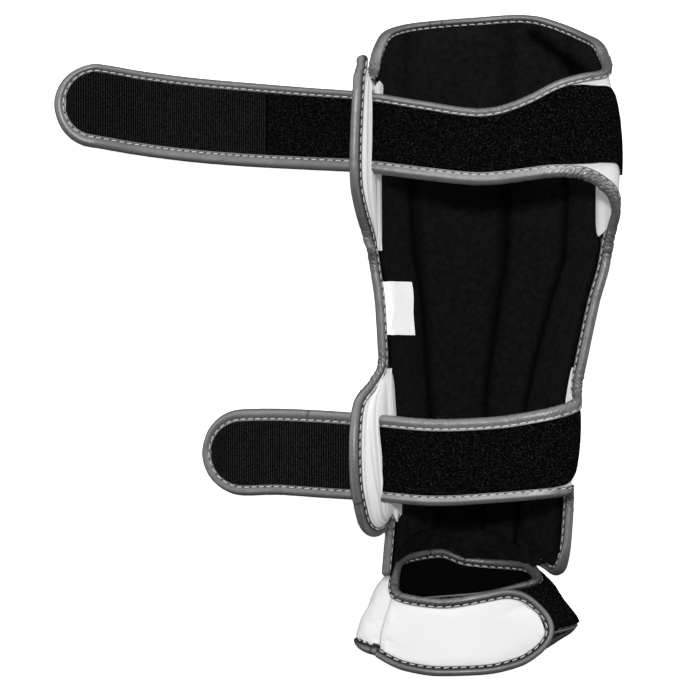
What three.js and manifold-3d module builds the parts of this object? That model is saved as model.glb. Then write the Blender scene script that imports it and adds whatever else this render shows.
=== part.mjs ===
// Shin and instep protector for kick sports, lying on its front with the leg side up.
// Millimetres. +Z is up from the surface that it lies on, +Y points to the knee and +X to the wearer's right.
// The origin is on the flat of the shin's front, under the middle of the length.
import * as THREE from "three";
import { mergeVertices } from "three/addons/utils/BufferGeometryUtils.js";
import Module from "manifold-3d";

const wasm = await Module();
wasm.setup();

// Thicknesses of the cloth, leather and foam
const GAP = 0.3; // left between pieces that are sewn together
const FOAM_SHIN = 14.5; // pad under the shin bone
const FOAM_RIM = 4.5; // pad at its side edges
const LINING = 2.2; // lining where it is sewn down
const LINING_CROWN = 2.4; // extra foam in the middle of a sewn channel
const WING = 3;
const STRAP = 2.4;
const TAPE = 1.8; // loop pile and hook tape
const INSTEP_LINING = 2;
const INSTEP_STRAP = 4.5;
const GUSSET = 2;
const LABEL = 0.8;

// Folded binding: how far it reaches past the edge, and how thick it is round each kind of piece
const BINDING = 5.6;
const BINDING_PAD = 7.4;
const BINDING_STRAP = 6.2;
const BINDING_WING = 5.4;
const BINDING_INSTEP = 9;
const BINDING_SIDES = 6;

const DEGREE = Math.PI / 180;

// The shin trough. Its cross-section is an elliptical arc that leans out at the rim.
const TROUGH_SWEEP = 75 * DEGREE; // from the middle to either rim
const SHIN = [
  { y: -165, left: -67.5, right: 53, rim: 57, floor: 12.5 },
  { y: -110, left: -64.5, right: 57, rim: 62, floor: 12 },
  { y: -75, left: -65, right: 57.5, rim: 64.5, floor: 12 },
  { y: -40, left: -68, right: 60, rim: 67, floor: 12 },
  { y: -5, left: -72.5, right: 67, rim: 70.5, floor: 12 },
  { y: 30, left: -75.5, right: 75, rim: 73, floor: 12 },
  { y: 66, left: -77, right: 81, rim: 74.5, floor: 12 },
  { y: 105, left: -76.5, right: 80.5, rim: 75, floor: 12 },
  { y: 190, left: -76.5, right: 82, rim: 75, floor: 12.5 },
  { y: 240, left: -76, right: 82, rim: 74, floor: 16 },
];
// Where the trough ends at the ankle and at the knee. Side runs from -1 at the left rim to 1 at the right rim.
const SHIN_ENDS = [
  { side: -1, ankle: -159, knee: 191 },
  { side: -0.92, ankle: -152, knee: 204.5 },
  { side: -0.77, ankle: -140, knee: 215.5 },
  { side: -0.46, ankle: -130, knee: 222.5 },
  { side: -0.17, ankle: -127.5, knee: 224.5 },
  { side: 0.11, ankle: -133, knee: 227 },
  { side: 0.36, ankle: -141, knee: 228 },
  { side: 0.58, ankle: -148, knee: 220.5 },
  { side: 0.8, ankle: -153, knee: 209.5 },
  { side: 0.93, ankle: -154, knee: 199.5 },
  { side: 1, ankle: -150, knee: 190 },
];
const LINING_SEAMS = [-0.53, 0.11, 0.56]; // sewn lines between the channels, as sides

// The left edge of the cloth, from the ankle to the knee: base is where it leaves the rim, along y.
const LEFT_LOWER_WING = [
  { base: -116, x: -71, y: -123, z: 66 },
  { base: -114, x: -77.5, y: -125.5, z: 71 },
  { base: -111, x: -84, y: -121.5, z: 78 },
  { base: -105, x: -88, y: -110, z: 84.5 },
  { base: -96, x: -90.5, y: -96, z: 88.5 },
  { base: -76, x: -91.5, y: -76, z: 91 },
  { base: -56, x: -91, y: -56, z: 89.5 },
  { base: -39, x: -87, y: -40, z: 83.5 },
  { base: -27, x: -79.5, y: -30, z: 76.5 },
  { base: -16, x: -73.5, y: -17.5, z: 70.6 },
];
const LEFT_UPPER_WING = [
  { base: 66, x: -78.5, y: 67, z: 76.5 },
  { base: 78, x: -82, y: 80, z: 82.5 },
  { base: 91, x: -86.5, y: 94, z: 92 },
  { base: 107, x: -90.5, y: 109, z: 99 },
  { base: 124, x: -91.5, y: 124, z: 102 },
  { base: 150, x: -90.5, y: 152, z: 103.5 },
  { base: 170, x: -89, y: 178, z: 103 },
  { base: 180, x: -87, y: 190, z: 99.5 },
  { base: 184, x: -83, y: 194, z: 93 },
];
const SLOT_HEIGHT = 10.5; // across the strap's thickness
const SLOT_SPARE = 13; // longer than the strap's cloth, so that its binding passes too

// Each strap leaves the right rim as a wing, turns over the leg, passes its slot and ends in a half round.
// X and z follow its middle line, top and bottom are the edges of its cloth along y. Lean moves the top edge
// right and the bottom edge left, and drop pulls both edges in, so that the wing bulges between them.
// The tape is the band of loop pile across the wing. Places along a strap are counted in rows.
const UPPER_STRAP = {
  rows: [
    { x: 82, z: 76.5, lean: 0, drop: 0, top: 187.5, bottom: 75 },
    { x: 88, z: 86, lean: 0, drop: 3, top: 187.5, bottom: 89 },
    { x: 90, z: 97, lean: -1, drop: 4.5, top: 186.5, bottom: 102.5 },
    { x: 83.5, z: 106.5, lean: -1, drop: 2.5, top: 185, bottom: 114 },
    { x: 68, z: 111.5, lean: 0, drop: 0, top: 182, bottom: 121.5 },
    { x: 50, z: 112, lean: 0, drop: 0, top: 176, bottom: 122 },
    { x: 29, z: 109.5, lean: 0, drop: 0, top: 165.5, bottom: 120 },
    { x: 9, z: 106, lean: 0, drop: 0, top: 158.5, bottom: 117.5 },
    { x: -9, z: 103, lean: 0, drop: 0, top: 157, bottom: 117 },
    { x: -45, z: 97, lean: 0, drop: 0, top: 162.5, bottom: 121 },
    { x: -84, z: 90, lean: 0, drop: 0, top: 169, bottom: 126 },
    { x: -125, z: 76, lean: 0, drop: 0, top: 173, bottom: 129.5 },
    { x: -165, z: 56, lean: 0, drop: 0, top: 177.5, bottom: 132.5 },
    { x: -205, z: 33, lean: 0, drop: 0, top: 182.5, bottom: 136 },
    { x: -245, z: 11, lean: 0, drop: 0, top: 189, bottom: 142 },
    { x: -274, z: 2.4, lean: 0, drop: 0, top: 194.5, bottom: 147.5 },
  ],
  tip: 2.2,
  tape: { top: 181, bottom: 128.5, fillsFrom: 3, fillsTo: 4.6 },
  wingEnd: 5.2,
  hookStart: 11.65,
};
const LOWER_STRAP = {
  rows: [
    { x: 59, z: 68, lean: 2, drop: 0, top: -32, bottom: -97 },
    { x: 61, z: 77, lean: 2.5, drop: 0.5, top: -38, bottom: -97.5 },
    { x: 60.5, z: 86, lean: 2.5, drop: 1, top: -42.5, bottom: -98 },
    { x: 52.5, z: 92.5, lean: 1.5, drop: 0.5, top: -46.5, bottom: -99 },
    { x: 37, z: 94, lean: 0, drop: 0, top: -50.5, bottom: -100.5 },
    { x: 9, z: 91, lean: 0, drop: 0, top: -55, bottom: -103 },
    { x: -36, z: 84.5, lean: 0, drop: 0, top: -57, bottom: -105.5 },
    { x: -77, z: 77, lean: 0, drop: 0, top: -54, bottom: -102.5 },
    { x: -115, z: 65, lean: 0, drop: 0, top: -51.5, bottom: -100.5 },
    { x: -145, z: 51, lean: 0, drop: 0, top: -50.5, bottom: -99 },
    { x: -168, z: 38, lean: 0, drop: 0, top: -51, bottom: -99 },
  ],
  tip: 26,
  tape: { top: -43, bottom: -96, fillsFrom: 2.4, fillsTo: 3.6 },
  wingEnd: 3.4,
  hookStart: 7.55,
};
const TIP_STEPS = 5;
const TIP_TURN = 80 * DEGREE;

// The instep sleeve: an ellipse whose half width and full height grow towards the toes.
const SLEEVE_X = -11;
const SLEEVE = [
  { y: -232, half: 80, high: 77 },
  { y: -205, half: 78, high: 76 },
  { y: -193, half: 74.5, high: 75.5 },
  { y: -180, half: 68.5, high: 75 },
  { y: -170, half: 62, high: 74 },
  { y: -160, half: 51.5, high: 73 },
  { y: -143, half: 45.5, high: 72 },
];
// The instep pad's cloth round the sleeve. Angle 180 is the left flank, 270 the floor, 360 the right flank,
// and past it the flap goes under the strap, sunk below the sleeve's own line.
const INSTEP = [
  { angle: 142.5, ankle: -179, toe: -211, thick: 6, sink: 0 },
  { angle: 165, ankle: -166, toe: -208, thick: 6, sink: 0 },
  { angle: 185, ankle: -159, toe: -205, thick: 7, sink: 0 },
  { angle: 215, ankle: -152.5, toe: -206, thick: 8, sink: 0 },
  { angle: 245, ankle: -149.5, toe: -213, thick: 8, sink: 0 },
  { angle: 270, ankle: -156, toe: -218.5, thick: 8, sink: 0 },
  { angle: 300, ankle: -157.5, toe: -216, thick: 8, sink: 0 },
  { angle: 330, ankle: -157.5, toe: -203, thick: 7, sink: 0 },
  { angle: 360, ankle: -162, toe: -190, thick: 5, sink: 0 },
  { angle: 390, ankle: -168, toe: -196, thick: 3.5, sink: 2 },
  { angle: 425, ankle: -172, toe: -204, thick: 2.5, sink: 4 },
  { angle: 490, ankle: -178, toe: -204, thick: 2.5, sink: 4 },
];
const LOOP_PATCH_START = 338; // the patch covers the right flank from here on
const LINING_END = 392; // the lining stops where the flap begins
// The strap under the foot, from its round end on the right to its root on the left flank
const INSTEP_STRAP_EDGES = [
  { angle: 46, ankle: -190, toe: -201 },
  { angle: 50, ankle: -183, toe: -206.5 },
  { angle: 56, ankle: -178, toe: -211.5 },
  { angle: 66, ankle: -175.5, toe: -217 },
  { angle: 84, ankle: -178.5, toe: -222.5 },
  { angle: 105, ankle: -182, toe: -223.5 },
  { angle: 122, ankle: -182, toe: -220.5 },
  { angle: 141.5, ankle: -181.5, toe: -212 },
];

// The gusset reaches from the trough's ankle end to the instep pad's ankle edge.
const GUSSET_SIDES = { from: -0.78, to: 0.7 };
const GUSSET_ANGLES = { from: 205, to: 336 };

const LABEL_PLACE = { sideFrom: -0.97, sideTo: -0.56, yFrom: 7, yTo: 45 };

const white = new THREE.MeshStandardMaterial({ color: 0xf1f1f0, roughness: 0.45, metalness: 0 });
const grey = new THREE.MeshStandardMaterial({ color: 0x6c6c70, roughness: 0.5, metalness: 0 });
const lining = new THREE.MeshStandardMaterial({ color: 0x101011, roughness: 0.9, metalness: 0 });
const loopPile = new THREE.MeshStandardMaterial({ color: 0x0a0a0b, roughness: 0.95, metalness: 0 });
const hookTape = new THREE.MeshStandardMaterial({ color: 0x131314, roughness: 0.8, metalness: 0 });
const labelCloth = new THREE.MeshStandardMaterial({ color: 0xf4f4f2, roughness: 0.8, metalness: 0 });

const vector = (x, y, z) => new THREE.Vector3(x, y, z);
const lerp = THREE.MathUtils.lerp;

// Evenly spaced values from one to another, both included.
function steps(from, to, count) {
  return Array.from({ length: count + 1 }, (_, i) => lerp(from, to, i / count));
}

// A column's value at a place along the key column, on a smooth curve that never overshoots its rows.
function lookUp(table, key, column, at) {
  const last = table.length - 1;
  const place = THREE.MathUtils.clamp(at, table[0][key], table[last][key]);
  const i = Math.min(last - 1, Math.max(0, table.findIndex((row) => row[key] > place) - 1));
  const span = (k) => table[k + 1][key] - table[k][key];
  const slope = (k) => (table[k + 1][column] - table[k][column]) / span(k);
  const tangent = (k) => {
    if (k === 0) return slope(0);
    if (k === last) return slope(last - 1);
    const before = slope(k - 1);
    const after = slope(k);
    return before * after <= 0 ? 0 : (2 * before * after) / (before + after);
  };
  const j = place >= table[last][key] ? last - 1 : i;
  const t = (place - table[j][key]) / span(j);
  const start = table[j][column] * (2 * t ** 3 - 3 * t ** 2 + 1);
  const end = table[j + 1][column] * (3 * t ** 2 - 2 * t ** 3);
  const rise = tangent(j) * (t ** 3 - 2 * t ** 2 + t) + tangent(j + 1) * (t ** 3 - t ** 2);
  return start + end + rise * span(j);
}

// A closed solid through rings of equal length. Half of a ring is one face, the other half the other face.
function loft(rings) {
  const size = rings[0].length;
  const triangles = [];
  const quad = (a, b, c, d) => triangles.push(a, b, c, a, c, d);
  for (let k = 0; k < rings.length - 1; k++) {
    for (let i = 0; i < size; i++) {
      const next = (i + 1) % size;
      const corners = [k * size + i, k * size + next, (k + 1) * size + next, (k + 1) * size + i];
      // Both faces split their quads along the same line, so that layers stay parallel.
      if (i >= size / 2) corners.push(corners.shift());
      quad(...corners);
    }
  }
  const end = (rings.length - 1) * size;
  for (let i = 0; i < size / 2 - 1; i++) {
    quad(i, size - 1 - i, size - 2 - i, i + 1);
    quad(end + i, end + i + 1, end + size - 2 - i, end + size - 1 - i);
  }
  const points = rings.flat();
  const volume = triangles.reduce((sum, _, i) => {
    if (i % 3) return sum;
    const [a, b, c] = triangles.slice(i, i + 3).map((n) => points[n]);
    return sum + a.dot(b.clone().cross(c));
  }, 0);
  if (volume < 0) triangles.reverse();
  const geometry = new THREE.BufferGeometry().setFromPoints(points).setIndex(triangles);
  geometry.computeVertexNormals();
  return geometry;
}

// The unit normal of a surface of (u, v).
function normal(surface, u, v) {
  const reach = 1e-3;
  const inside = (value) => THREE.MathUtils.clamp(value, 0, 1);
  const alongU = surface(inside(u + reach), v).sub(surface(inside(u - reach), v));
  const alongV = surface(u, inside(v + reach)).sub(surface(u, inside(v - reach)));
  return alongU.cross(alongV).normalize();
}

// A point off a surface along its normal, never below the surface that the object lies on.
function offset(surface, u, v, distance) {
  const point = surface(u, v).addScaledVector(normal(surface, u, v), distance);
  return point.setZ(Math.max(point.z, 0));
}

// A cloth or foam wall between two offsets of a surface, which may vary over it.
function wall(surface, us, vs, near, far) {
  const level = (value) => (typeof value === "function" ? value : () => value);
  const face = (v, value) => us.map((u) => offset(surface, u, v, level(value)(u, v)));
  return loft(vs.map((v) => [...face(v, far), ...face(v, near).reverse()]));
}

// Places on an edge of a surface, with the direction across the cloth there.
function edge(surface, route, lift = 0) {
  return route.map(([u, v]) => ({ at: offset(surface, u, v, lift), up: normal(surface, u, v) }));
}

// A folded binding beside an edge, on the side that the direction along it and the cloth's normal give.
function binding(spots, thick) {
  const away = GAP + BINDING / 2;
  const outward = spots.map((spot, i) => {
    const ahead = spots[Math.min(i + 1, spots.length - 1)].at;
    const behind = spots[Math.max(i - 1, 0)].at;
    return ahead.clone().sub(behind).cross(spot.up).normalize();
  });
  const rings = spots.map(({ at, up }, i) =>
    steps(0.5, BINDING_SIDES - 0.5, BINDING_SIDES - 1).map((corner) => {
      const turn = (corner / BINDING_SIDES) * 2 * Math.PI;
      const point = at.clone().addScaledVector(outward[i], away + (BINDING / 2) * Math.cos(turn));
      point.addScaledVector(up, (thick / 2) * Math.sin(turn));
      return point.setZ(Math.max(point.z, 0));
    }),
  );
  return loft(rings);
}

// The trough's sewing surface, between lining and foam. Its normal points to the leg.
function troughPoint(side, y) {
  const columns = ["left", "right", "rim", "floor"];
  const [left, right, rim, floor] = columns.map((column) => lookUp(SHIN, "y", column, y));
  const turn = side * TROUGH_SWEEP;
  const across = Math.sin(turn) / Math.sin(TROUGH_SWEEP);
  const rise = (1 - Math.cos(turn)) / (1 - Math.cos(TROUGH_SWEEP));
  return vector((left + right + across * (right - left)) / 2, y, lerp(floor, rim, rise));
}
const shinEnd = (side, column) => lookUp(SHIN_ENDS, "side", column, side);
const sideAt = (u) => 2 * u - 1;
const trough = (u, v) => {
  const side = sideAt(u);
  return troughPoint(side, lerp(shinEnd(side, "ankle"), shinEnd(side, "knee"), v));
};
// A stretch of one rim, as a surface whose v runs along y.
const rimStretch = (side, yFrom, yTo) => (u, v) => troughPoint(side + (u - 0.5) * 0.02, lerp(yFrom, yTo, v));

// Shell and lining share their stations, so that their faces stay parallel: five across each channel.
const CHANNELS = [-1, ...LINING_SEAMS, 1];
const TROUGH_U = CHANNELS.slice(1).flatMap((line, i) => {
  return steps((CHANNELS[i] + 1) / 2, (line + 1) / 2, 5).slice(i ? 1 : 0);
});
const TROUGH_V = steps(0, 1, 13);

function shinShell() {
  const foam = (u) => -lerp(FOAM_SHIN, FOAM_RIM, sideAt(u) ** 2);
  return wall(trough, TROUGH_U, TROUGH_V, foam, -GAP / 2);
}

// The lining is crowned between its sewn lines and thin round its edge.
function shinLining() {
  const crown = (u) => {
    const after = CHANNELS.findIndex((line) => line > sideAt(u) + 1e-6);
    if (after < 1) return 0;
    const share = (sideAt(u) - CHANNELS[after - 1]) / (CHANNELS[after] - CHANNELS[after - 1]);
    return Math.sqrt(Math.max(0, Math.sin(Math.PI * share)));
  };
  const face = (u, v) => LINING + (v > 0 && v < 1 ? LINING_CROWN * crown(u) : 0);
  return wall(trough, TROUGH_U, TROUGH_V, GAP / 2, face);
}

// A flap on the left rim: it leaves the rim straight on and bends out to its free edge.
// Its normal points to the leg.
function leftWing(rows) {
  const smooth = (points) => new THREE.CatmullRomCurve3(points, false, "catmullrom");
  const rimAt = (base, lift) => {
    const stretch = rimStretch(-1, base - 1, base + 1);
    const upright = stretch(0, 0.5).sub(stretch(1, 0.5)).normalize();
    return offset(stretch, 0.5, 0.5, -FOAM_RIM / 2).addScaledVector(upright, lift);
  };
  const edgeOf = (row) => vector(row.x, row.y, row.z);
  const root = smooth(rows.map((row) => rimAt(row.base, 1.5 * GAP)));
  const bend = smooth(rows.map((row) => rimAt(row.base, 0.45 * edgeOf(row).distanceTo(rimAt(row.base, 0)))));
  const free = smooth(rows.map(edgeOf));
  return (u, v) => {
    const points = [root, bend, free].map((curve) => curve.getPoint(u));
    return new THREE.QuadraticBezierCurve3(...points).getPoint(v);
  };
}

const solidOf = (geometry) =>
  new wasm.Manifold(
    new wasm.Mesh({
      numProp: 3,
      vertProperties: new Float32Array(geometry.getAttribute("position").array),
      triVerts: new Uint32Array(geometry.getIndex().array),
    }),
  );

// Cuts one solid out of another.
function cut(geometry, tool) {
  const mesh = solidOf(geometry).subtract(solidOf(tool)).getMesh();
  const made = new THREE.BufferGeometry();
  made.setAttribute("position", new THREE.BufferAttribute(mesh.vertProperties, 3));
  made.setIndex(new THREE.BufferAttribute(mesh.triVerts, 1));
  made.computeVertexNormals();
  return made;
}

// A strap's surface from the right rim to its free end. Its normal points away from the leg, and v runs down y.
function ribbon({ rows, tip }) {
  const last = rows.at(-1);
  const radius = (last.top - last.bottom) / 2;
  const middle = (last.top + last.bottom) / 2;
  const roundEnd = steps(0, TIP_TURN, TIP_STEPS).slice(1).map((turn) => ({
    x: last.x - radius * Math.sin(turn),
    z: lerp(last.z, tip, Math.sin(turn)),
    lean: 0,
    drop: 0,
    top: middle + radius * Math.cos(turn),
    bottom: middle - radius * Math.cos(turn),
  }));
  const curve = (side, leaning) => {
    const point = (row) => vector(row.x + leaning * row.lean - row.drop, row[side], row.z);
    return new THREE.CatmullRomCurve3([...rows, ...roundEnd].map(point), false, "catmullrom");
  };
  const top = curve("top", 1);
  const bottom = curve("bottom", -1);
  const bulges = [...rows, ...roundEnd].map((row) => vector(row.drop, 0, 0));
  const droop = new THREE.CatmullRomCurve3(bulges, false, "catmullrom");
  return (u, v) => {
    const bulge = 4 * v * (1 - v);
    return top.getPoint(u).lerp(bottom.getPoint(u), v).addScaledVector(droop.getPoint(u), bulge);
  };
}
// Where a place counted in rows lies along the ribbon, from 0 to 1.
const alongRibbon = (strap, row) => row / (strap.rows.length - 1 + TIP_STEPS);

// The tape's edges across the ribbon: over the wing it keeps its own band, further on it fills the strap.
function tapeSpan(strap, surface, u) {
  const { top, bottom, fillsFrom, fillsTo } = strap.tape;
  const above = surface(u, 0).y;
  const below = surface(u, 1).y;
  const fill = THREE.MathUtils.smoothstep(u, alongRibbon(strap, fillsFrom), alongRibbon(strap, fillsTo));
  const share = (y) => THREE.MathUtils.clamp((above - y) / (above - below), 0, 1);
  return [lerp(share(top), 0, fill), lerp(share(bottom), 1, fill)];
}
function tape(strap, surface, rowFrom, rowTo, stepsAlong, stepsAcross) {
  const band = (u, v) => surface(u, lerp(...tapeSpan(strap, surface, u), v));
  const us = steps(alongRibbon(strap, rowFrom), alongRibbon(strap, rowTo), stepsAlong);
  const near = STRAP / 2 + 1.5 * GAP;
  return wall(band, us, steps(0, 1, stepsAcross), near, near + TAPE);
}

// A slot through a wing where the strap's route crosses it.
function slottedWing(rows, strap, strapSurface) {
  const wing = leftWing(rows);
  const leaf = wall(wing, steps(0, 1, 18), steps(0, 1, 5), -WING / 2, WING / 2);
  const crossing = strap.rows.findIndex((row) => row.x < wing(0.5, 0.5).x + 1);
  const centre = offset(strapSurface, alongRibbon(strap, crossing), 0.5, TAPE / 2);
  const { top, bottom } = strap.rows[crossing];
  const tool = new THREE.BoxGeometry(6 * WING, top - bottom + SLOT_SPARE, SLOT_HEIGHT);
  const away = normal(wing, 0.5, 0.5);
  tool.rotateY(-Math.atan2(away.z, away.x));
  tool.translate(centre.x, centre.y, centre.z);
  tool.deleteAttribute("normal").deleteAttribute("uv");
  return cut(leaf, mergeVertices(tool));
}

// The instep sleeve's outer surface. Its normal points away from the foot.
function sleevePoint(angle, y, out = 0) {
  const half = lookUp(SLEEVE, "y", "half", y) + out;
  const high = lookUp(SLEEVE, "y", "high", y);
  const turn = angle * DEGREE;
  return vector(SLEEVE_X + half * Math.cos(turn), y, high / 2 + (high / 2 + out) * Math.sin(turn));
}
const instepAt = (angle, column) => lookUp(INSTEP, "angle", column, angle);
const instepSurface = (from, to) => (u, v) => {
  const angle = lerp(from, to, u);
  const y = lerp(instepAt(angle, "ankle"), instepAt(angle, "toe"), v);
  return sleevePoint(angle, y, -instepAt(angle, "sink"));
};
const INSTEP_START = INSTEP[0].angle;
const INSTEP_END = INSTEP.at(-1).angle;

// The pieces of the instep pad share their stations too.
const INSTEP_U = steps(0, 1, 34);
const INSTEP_V = steps(0, 1, 5);
const angleAt = (u) => lerp(INSTEP_START, INSTEP_END, u);
const inside = (u) => -instepAt(angleAt(u), "thick");
const instep = instepSurface(INSTEP_START, INSTEP_END);

function instepLining() {
  const us = INSTEP_U.filter((u) => u > 0 && angleAt(u) < LINING_END);
  return wall(instep, us, INSTEP_V, (u) => inside(u) - GAP - INSTEP_LINING, (u) => inside(u) - GAP);
}
function instepLoopPatch() {
  const us = INSTEP_U.filter((u) => u < 1 && angleAt(u) > LOOP_PATCH_START);
  return wall(instep, us, INSTEP_V, GAP, GAP + TAPE);
}

// The strap's surface lies on the loop patch, and its u runs from the round end to the root.
const strapAngle = (u) => lerp(INSTEP_STRAP_EDGES[0].angle, INSTEP_STRAP_EDGES.at(-1).angle, u);
function instepStrapSurface(u, v) {
  const angle = strapAngle(u);
  const [ankle, toe] = ["ankle", "toe"].map((column) => lookUp(INSTEP_STRAP_EDGES, "angle", column, angle));
  const out = 3 * GAP + TAPE + INSTEP_STRAP / 2 - instepAt(angle + 360, "sink");
  return sleevePoint(angle, lerp(ankle, toe, v), out);
}

// The gusset, ruled from the trough's ankle end to the instep pad's ankle binding.
function ankleGusset() {
  const surface = (u, v) => {
    const side = lerp(GUSSET_SIDES.from, GUSSET_SIDES.to, u);
    const angle = lerp(GUSSET_ANGLES.from, GUSSET_ANGLES.to, u);
    const near = troughPoint(side, shinEnd(side, "ankle") - 3 * GAP);
    const far = sleevePoint(angle, instepAt(angle, "ankle") + BINDING + 3 * GAP, -instepAt(angle, "thick") / 2);
    return near.lerp(far, v);
  };
  return wall(surface, steps(0, 1, 14), steps(0, 1, 2), -GUSSET / 2, GUSSET / 2);
}

function careLabel() {
  const { sideFrom, sideTo, yFrom, yTo } = LABEL_PLACE;
  const surface = (u, v) => troughPoint(lerp(sideFrom, sideTo, u), lerp(yFrom, yTo, v));
  const rest = LINING + LINING_CROWN + GAP;
  return wall(surface, steps(0, 1, 5), steps(0, 1, 2), rest, rest + LABEL);
}

// Routes of (u, v) along the edges that are bound
const along = (from, to, count, v) => steps(from, to, count).map((u) => [u, v]);
const across = (from, to, count, u) => steps(from, to, count).map((v) => [u, v]);
const rimLift = (LINING - FOAM_RIM) / 2;

const upperRibbon = ribbon(UPPER_STRAP);
const lowerRibbon = ribbon(LOWER_STRAP);
const leftUpper = leftWing(LEFT_UPPER_WING);
const leftLower = leftWing(LEFT_LOWER_WING);

const topRim = [
  ...edge(trough, along(1, 0, 26, 1), rimLift),
  ...edge(rimStretch(-1, 186.5, 189), across(1, 0, 1, 0.5), rimLift),
];
const leftEdge = [
  ...edge(leftUpper, along(1, 0, 18, 1)),
  ...edge(rimStretch(-1, -12, 60), across(1, 0, 6, 0.5), rimLift),
  ...edge(leftLower, along(16 / 18, 0, 16, 1)),
];
const leftAnkleEdge = edge(rimStretch(-1, -157, -130), across(1, 0, 4, 0.5), rimLift);
const rightEdge = edge(rimStretch(1, -26, 66), across(0, 1, 8, 0.5), rimLift);
const rightAnkleEdge = [
  ...edge(trough, along(0.9, 1, 3, 0), rimLift),
  ...edge(rimStretch(1, -146, -103), across(0, 1, 5, 0.5), rimLift),
];
const strapEdge = (surface) => [
  ...edge(surface, along(0.03, 1, 24, 0), TAPE / 2),
  ...edge(surface, along(1, 0.012, 24, 1), TAPE / 2),
];

const instepRoute = (from, to, v) => INSTEP_U.filter((u) => u > from && u < to).map((u) => [u, v]);
const instepAnkleEdge = edge(instep, instepRoute(0, 1, 0), -3.5);
const instepToeEdge = edge(instep, instepRoute(0, 0.74, 1).reverse(), -3.5);
const instepStrapEdge = [
  ...edge(instepStrapSurface, along(0.99, 0, 16, 1), 0.6),
  ...edge(instepStrapSurface, along(0, 0.99, 16, 0), 0.6),
];

const pieces = {
  shin_shell: [shinShell(), white],
  shin_lining: [shinLining(), lining],
  care_label: [careLabel(), labelCloth],
  top_rim_binding: [binding(topRim, BINDING_PAD), grey],
  left_binding: [binding(leftEdge, BINDING_WING), grey],
  left_ankle_binding: [binding(leftAnkleEdge, BINDING_PAD), grey],
  right_binding: [binding(rightEdge, BINDING_PAD), grey],
  right_ankle_binding: [binding(rightAnkleEdge, BINDING_PAD), grey],
  left_upper_wing: [slottedWing(LEFT_UPPER_WING, UPPER_STRAP, upperRibbon), white],
  left_lower_wing: [slottedWing(LEFT_LOWER_WING, LOWER_STRAP, lowerRibbon), white],
  ankle_gusset: [ankleGusset(), lining],
  instep_shell: [wall(instep, INSTEP_U, INSTEP_V, inside, 0), white],
  instep_lining: [instepLining(), lining],
  instep_loop_patch: [instepLoopPatch(), loopPile],
  instep_strap: [
    wall(instepStrapSurface, steps(0, 1, 14), steps(0, 1, 5), -INSTEP_STRAP / 2, INSTEP_STRAP / 2),
    white,
  ],
  instep_ankle_binding: [binding(instepAnkleEdge, BINDING_INSTEP), grey],
  instep_toe_binding: [binding(instepToeEdge, BINDING_INSTEP), grey],
  instep_strap_binding: [binding(instepStrapEdge, BINDING_WING), grey],
};
// A strap's own pieces: the wing that it starts from, its backing, its tapes and its binding.
for (const [name, strap, surface] of [
  ["upper", UPPER_STRAP, upperRibbon],
  ["lower", LOWER_STRAP, lowerRibbon],
]) {
  const joint = alongRibbon(strap, strap.wingEnd);
  const tapeEnd = strap.rows.length - 1 + TIP_STEPS - 0.2;
  const backing = (us, stepsAcross) => wall(surface, us, steps(0, 1, stepsAcross), -STRAP / 2, STRAP / 2);
  pieces[`right_${name}_wing`] = [backing(steps(0.01, joint - 0.002, 12), 6), white];
  pieces[`${name}_strap`] = [backing(steps(joint, 1, 26), 2), white];
  pieces[`${name}_strap_loop`] = [tape(strap, surface, 1, strap.hookStart - 0.02, 22, 4), loopPile];
  pieces[`${name}_strap_hook`] = [tape(strap, surface, strap.hookStart, tapeEnd, 12, 1), hookTape];
  pieces[`${name}_strap_binding`] = [binding(strapEdge(surface), BINDING_STRAP), grey];
}

const protector = new THREE.Group();
for (const [name, [geometry, material]] of Object.entries(pieces)) {
  const mesh = new THREE.Mesh(geometry, material);
  mesh.name = name;
  protector.add(mesh);
}

export default protector;
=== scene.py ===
"""Shin and instep protector for kick sports, lying on its front with the leg side up.

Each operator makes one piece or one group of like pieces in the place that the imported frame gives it.
The frame is in metres; the tables below are in millimetres, as a pattern cutter would write them.
"""

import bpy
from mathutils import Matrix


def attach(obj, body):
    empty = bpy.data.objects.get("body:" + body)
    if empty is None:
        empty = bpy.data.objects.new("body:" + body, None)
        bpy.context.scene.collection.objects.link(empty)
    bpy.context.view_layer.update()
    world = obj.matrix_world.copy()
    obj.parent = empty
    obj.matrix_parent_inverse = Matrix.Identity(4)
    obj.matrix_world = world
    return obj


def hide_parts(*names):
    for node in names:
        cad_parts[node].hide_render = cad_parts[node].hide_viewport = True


bl_info = {
    "name": "Shin and Instep Protector",
    "version": (1, 0, 0),
    "blender": (4, 5, 0),
    "location": "View3D > Sidebar > Protector",
    "description": "Builds a padded shin and instep guard with bound edges, straps and hook-and-loop tape",
    "category": "Object",
}

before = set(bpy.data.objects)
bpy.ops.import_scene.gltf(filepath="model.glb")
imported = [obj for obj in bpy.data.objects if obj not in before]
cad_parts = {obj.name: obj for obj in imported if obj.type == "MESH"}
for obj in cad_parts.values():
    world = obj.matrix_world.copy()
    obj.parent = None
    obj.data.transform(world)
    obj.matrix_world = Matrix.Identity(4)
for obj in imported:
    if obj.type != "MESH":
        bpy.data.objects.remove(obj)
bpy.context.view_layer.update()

import math

import bpy
import numpy as np
from mathutils import Vector

MM = 0.001
DEGREE = math.pi / 180


def linear(hex_code):
    """An sRGB hex colour as linear red, green and blue."""
    parts = [int(hex_code[i:i + 2], 16) / 255 for i in (1, 3, 5)]
    return tuple(p / 12.92 if p <= 0.04045 else ((p + 0.055) / 1.055) ** 2.4 for p in parts)


def table(columns, *rows):
    """Rows of numbers as named columns."""
    return dict(zip(columns.split(), np.array(rows, float).T))


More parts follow.
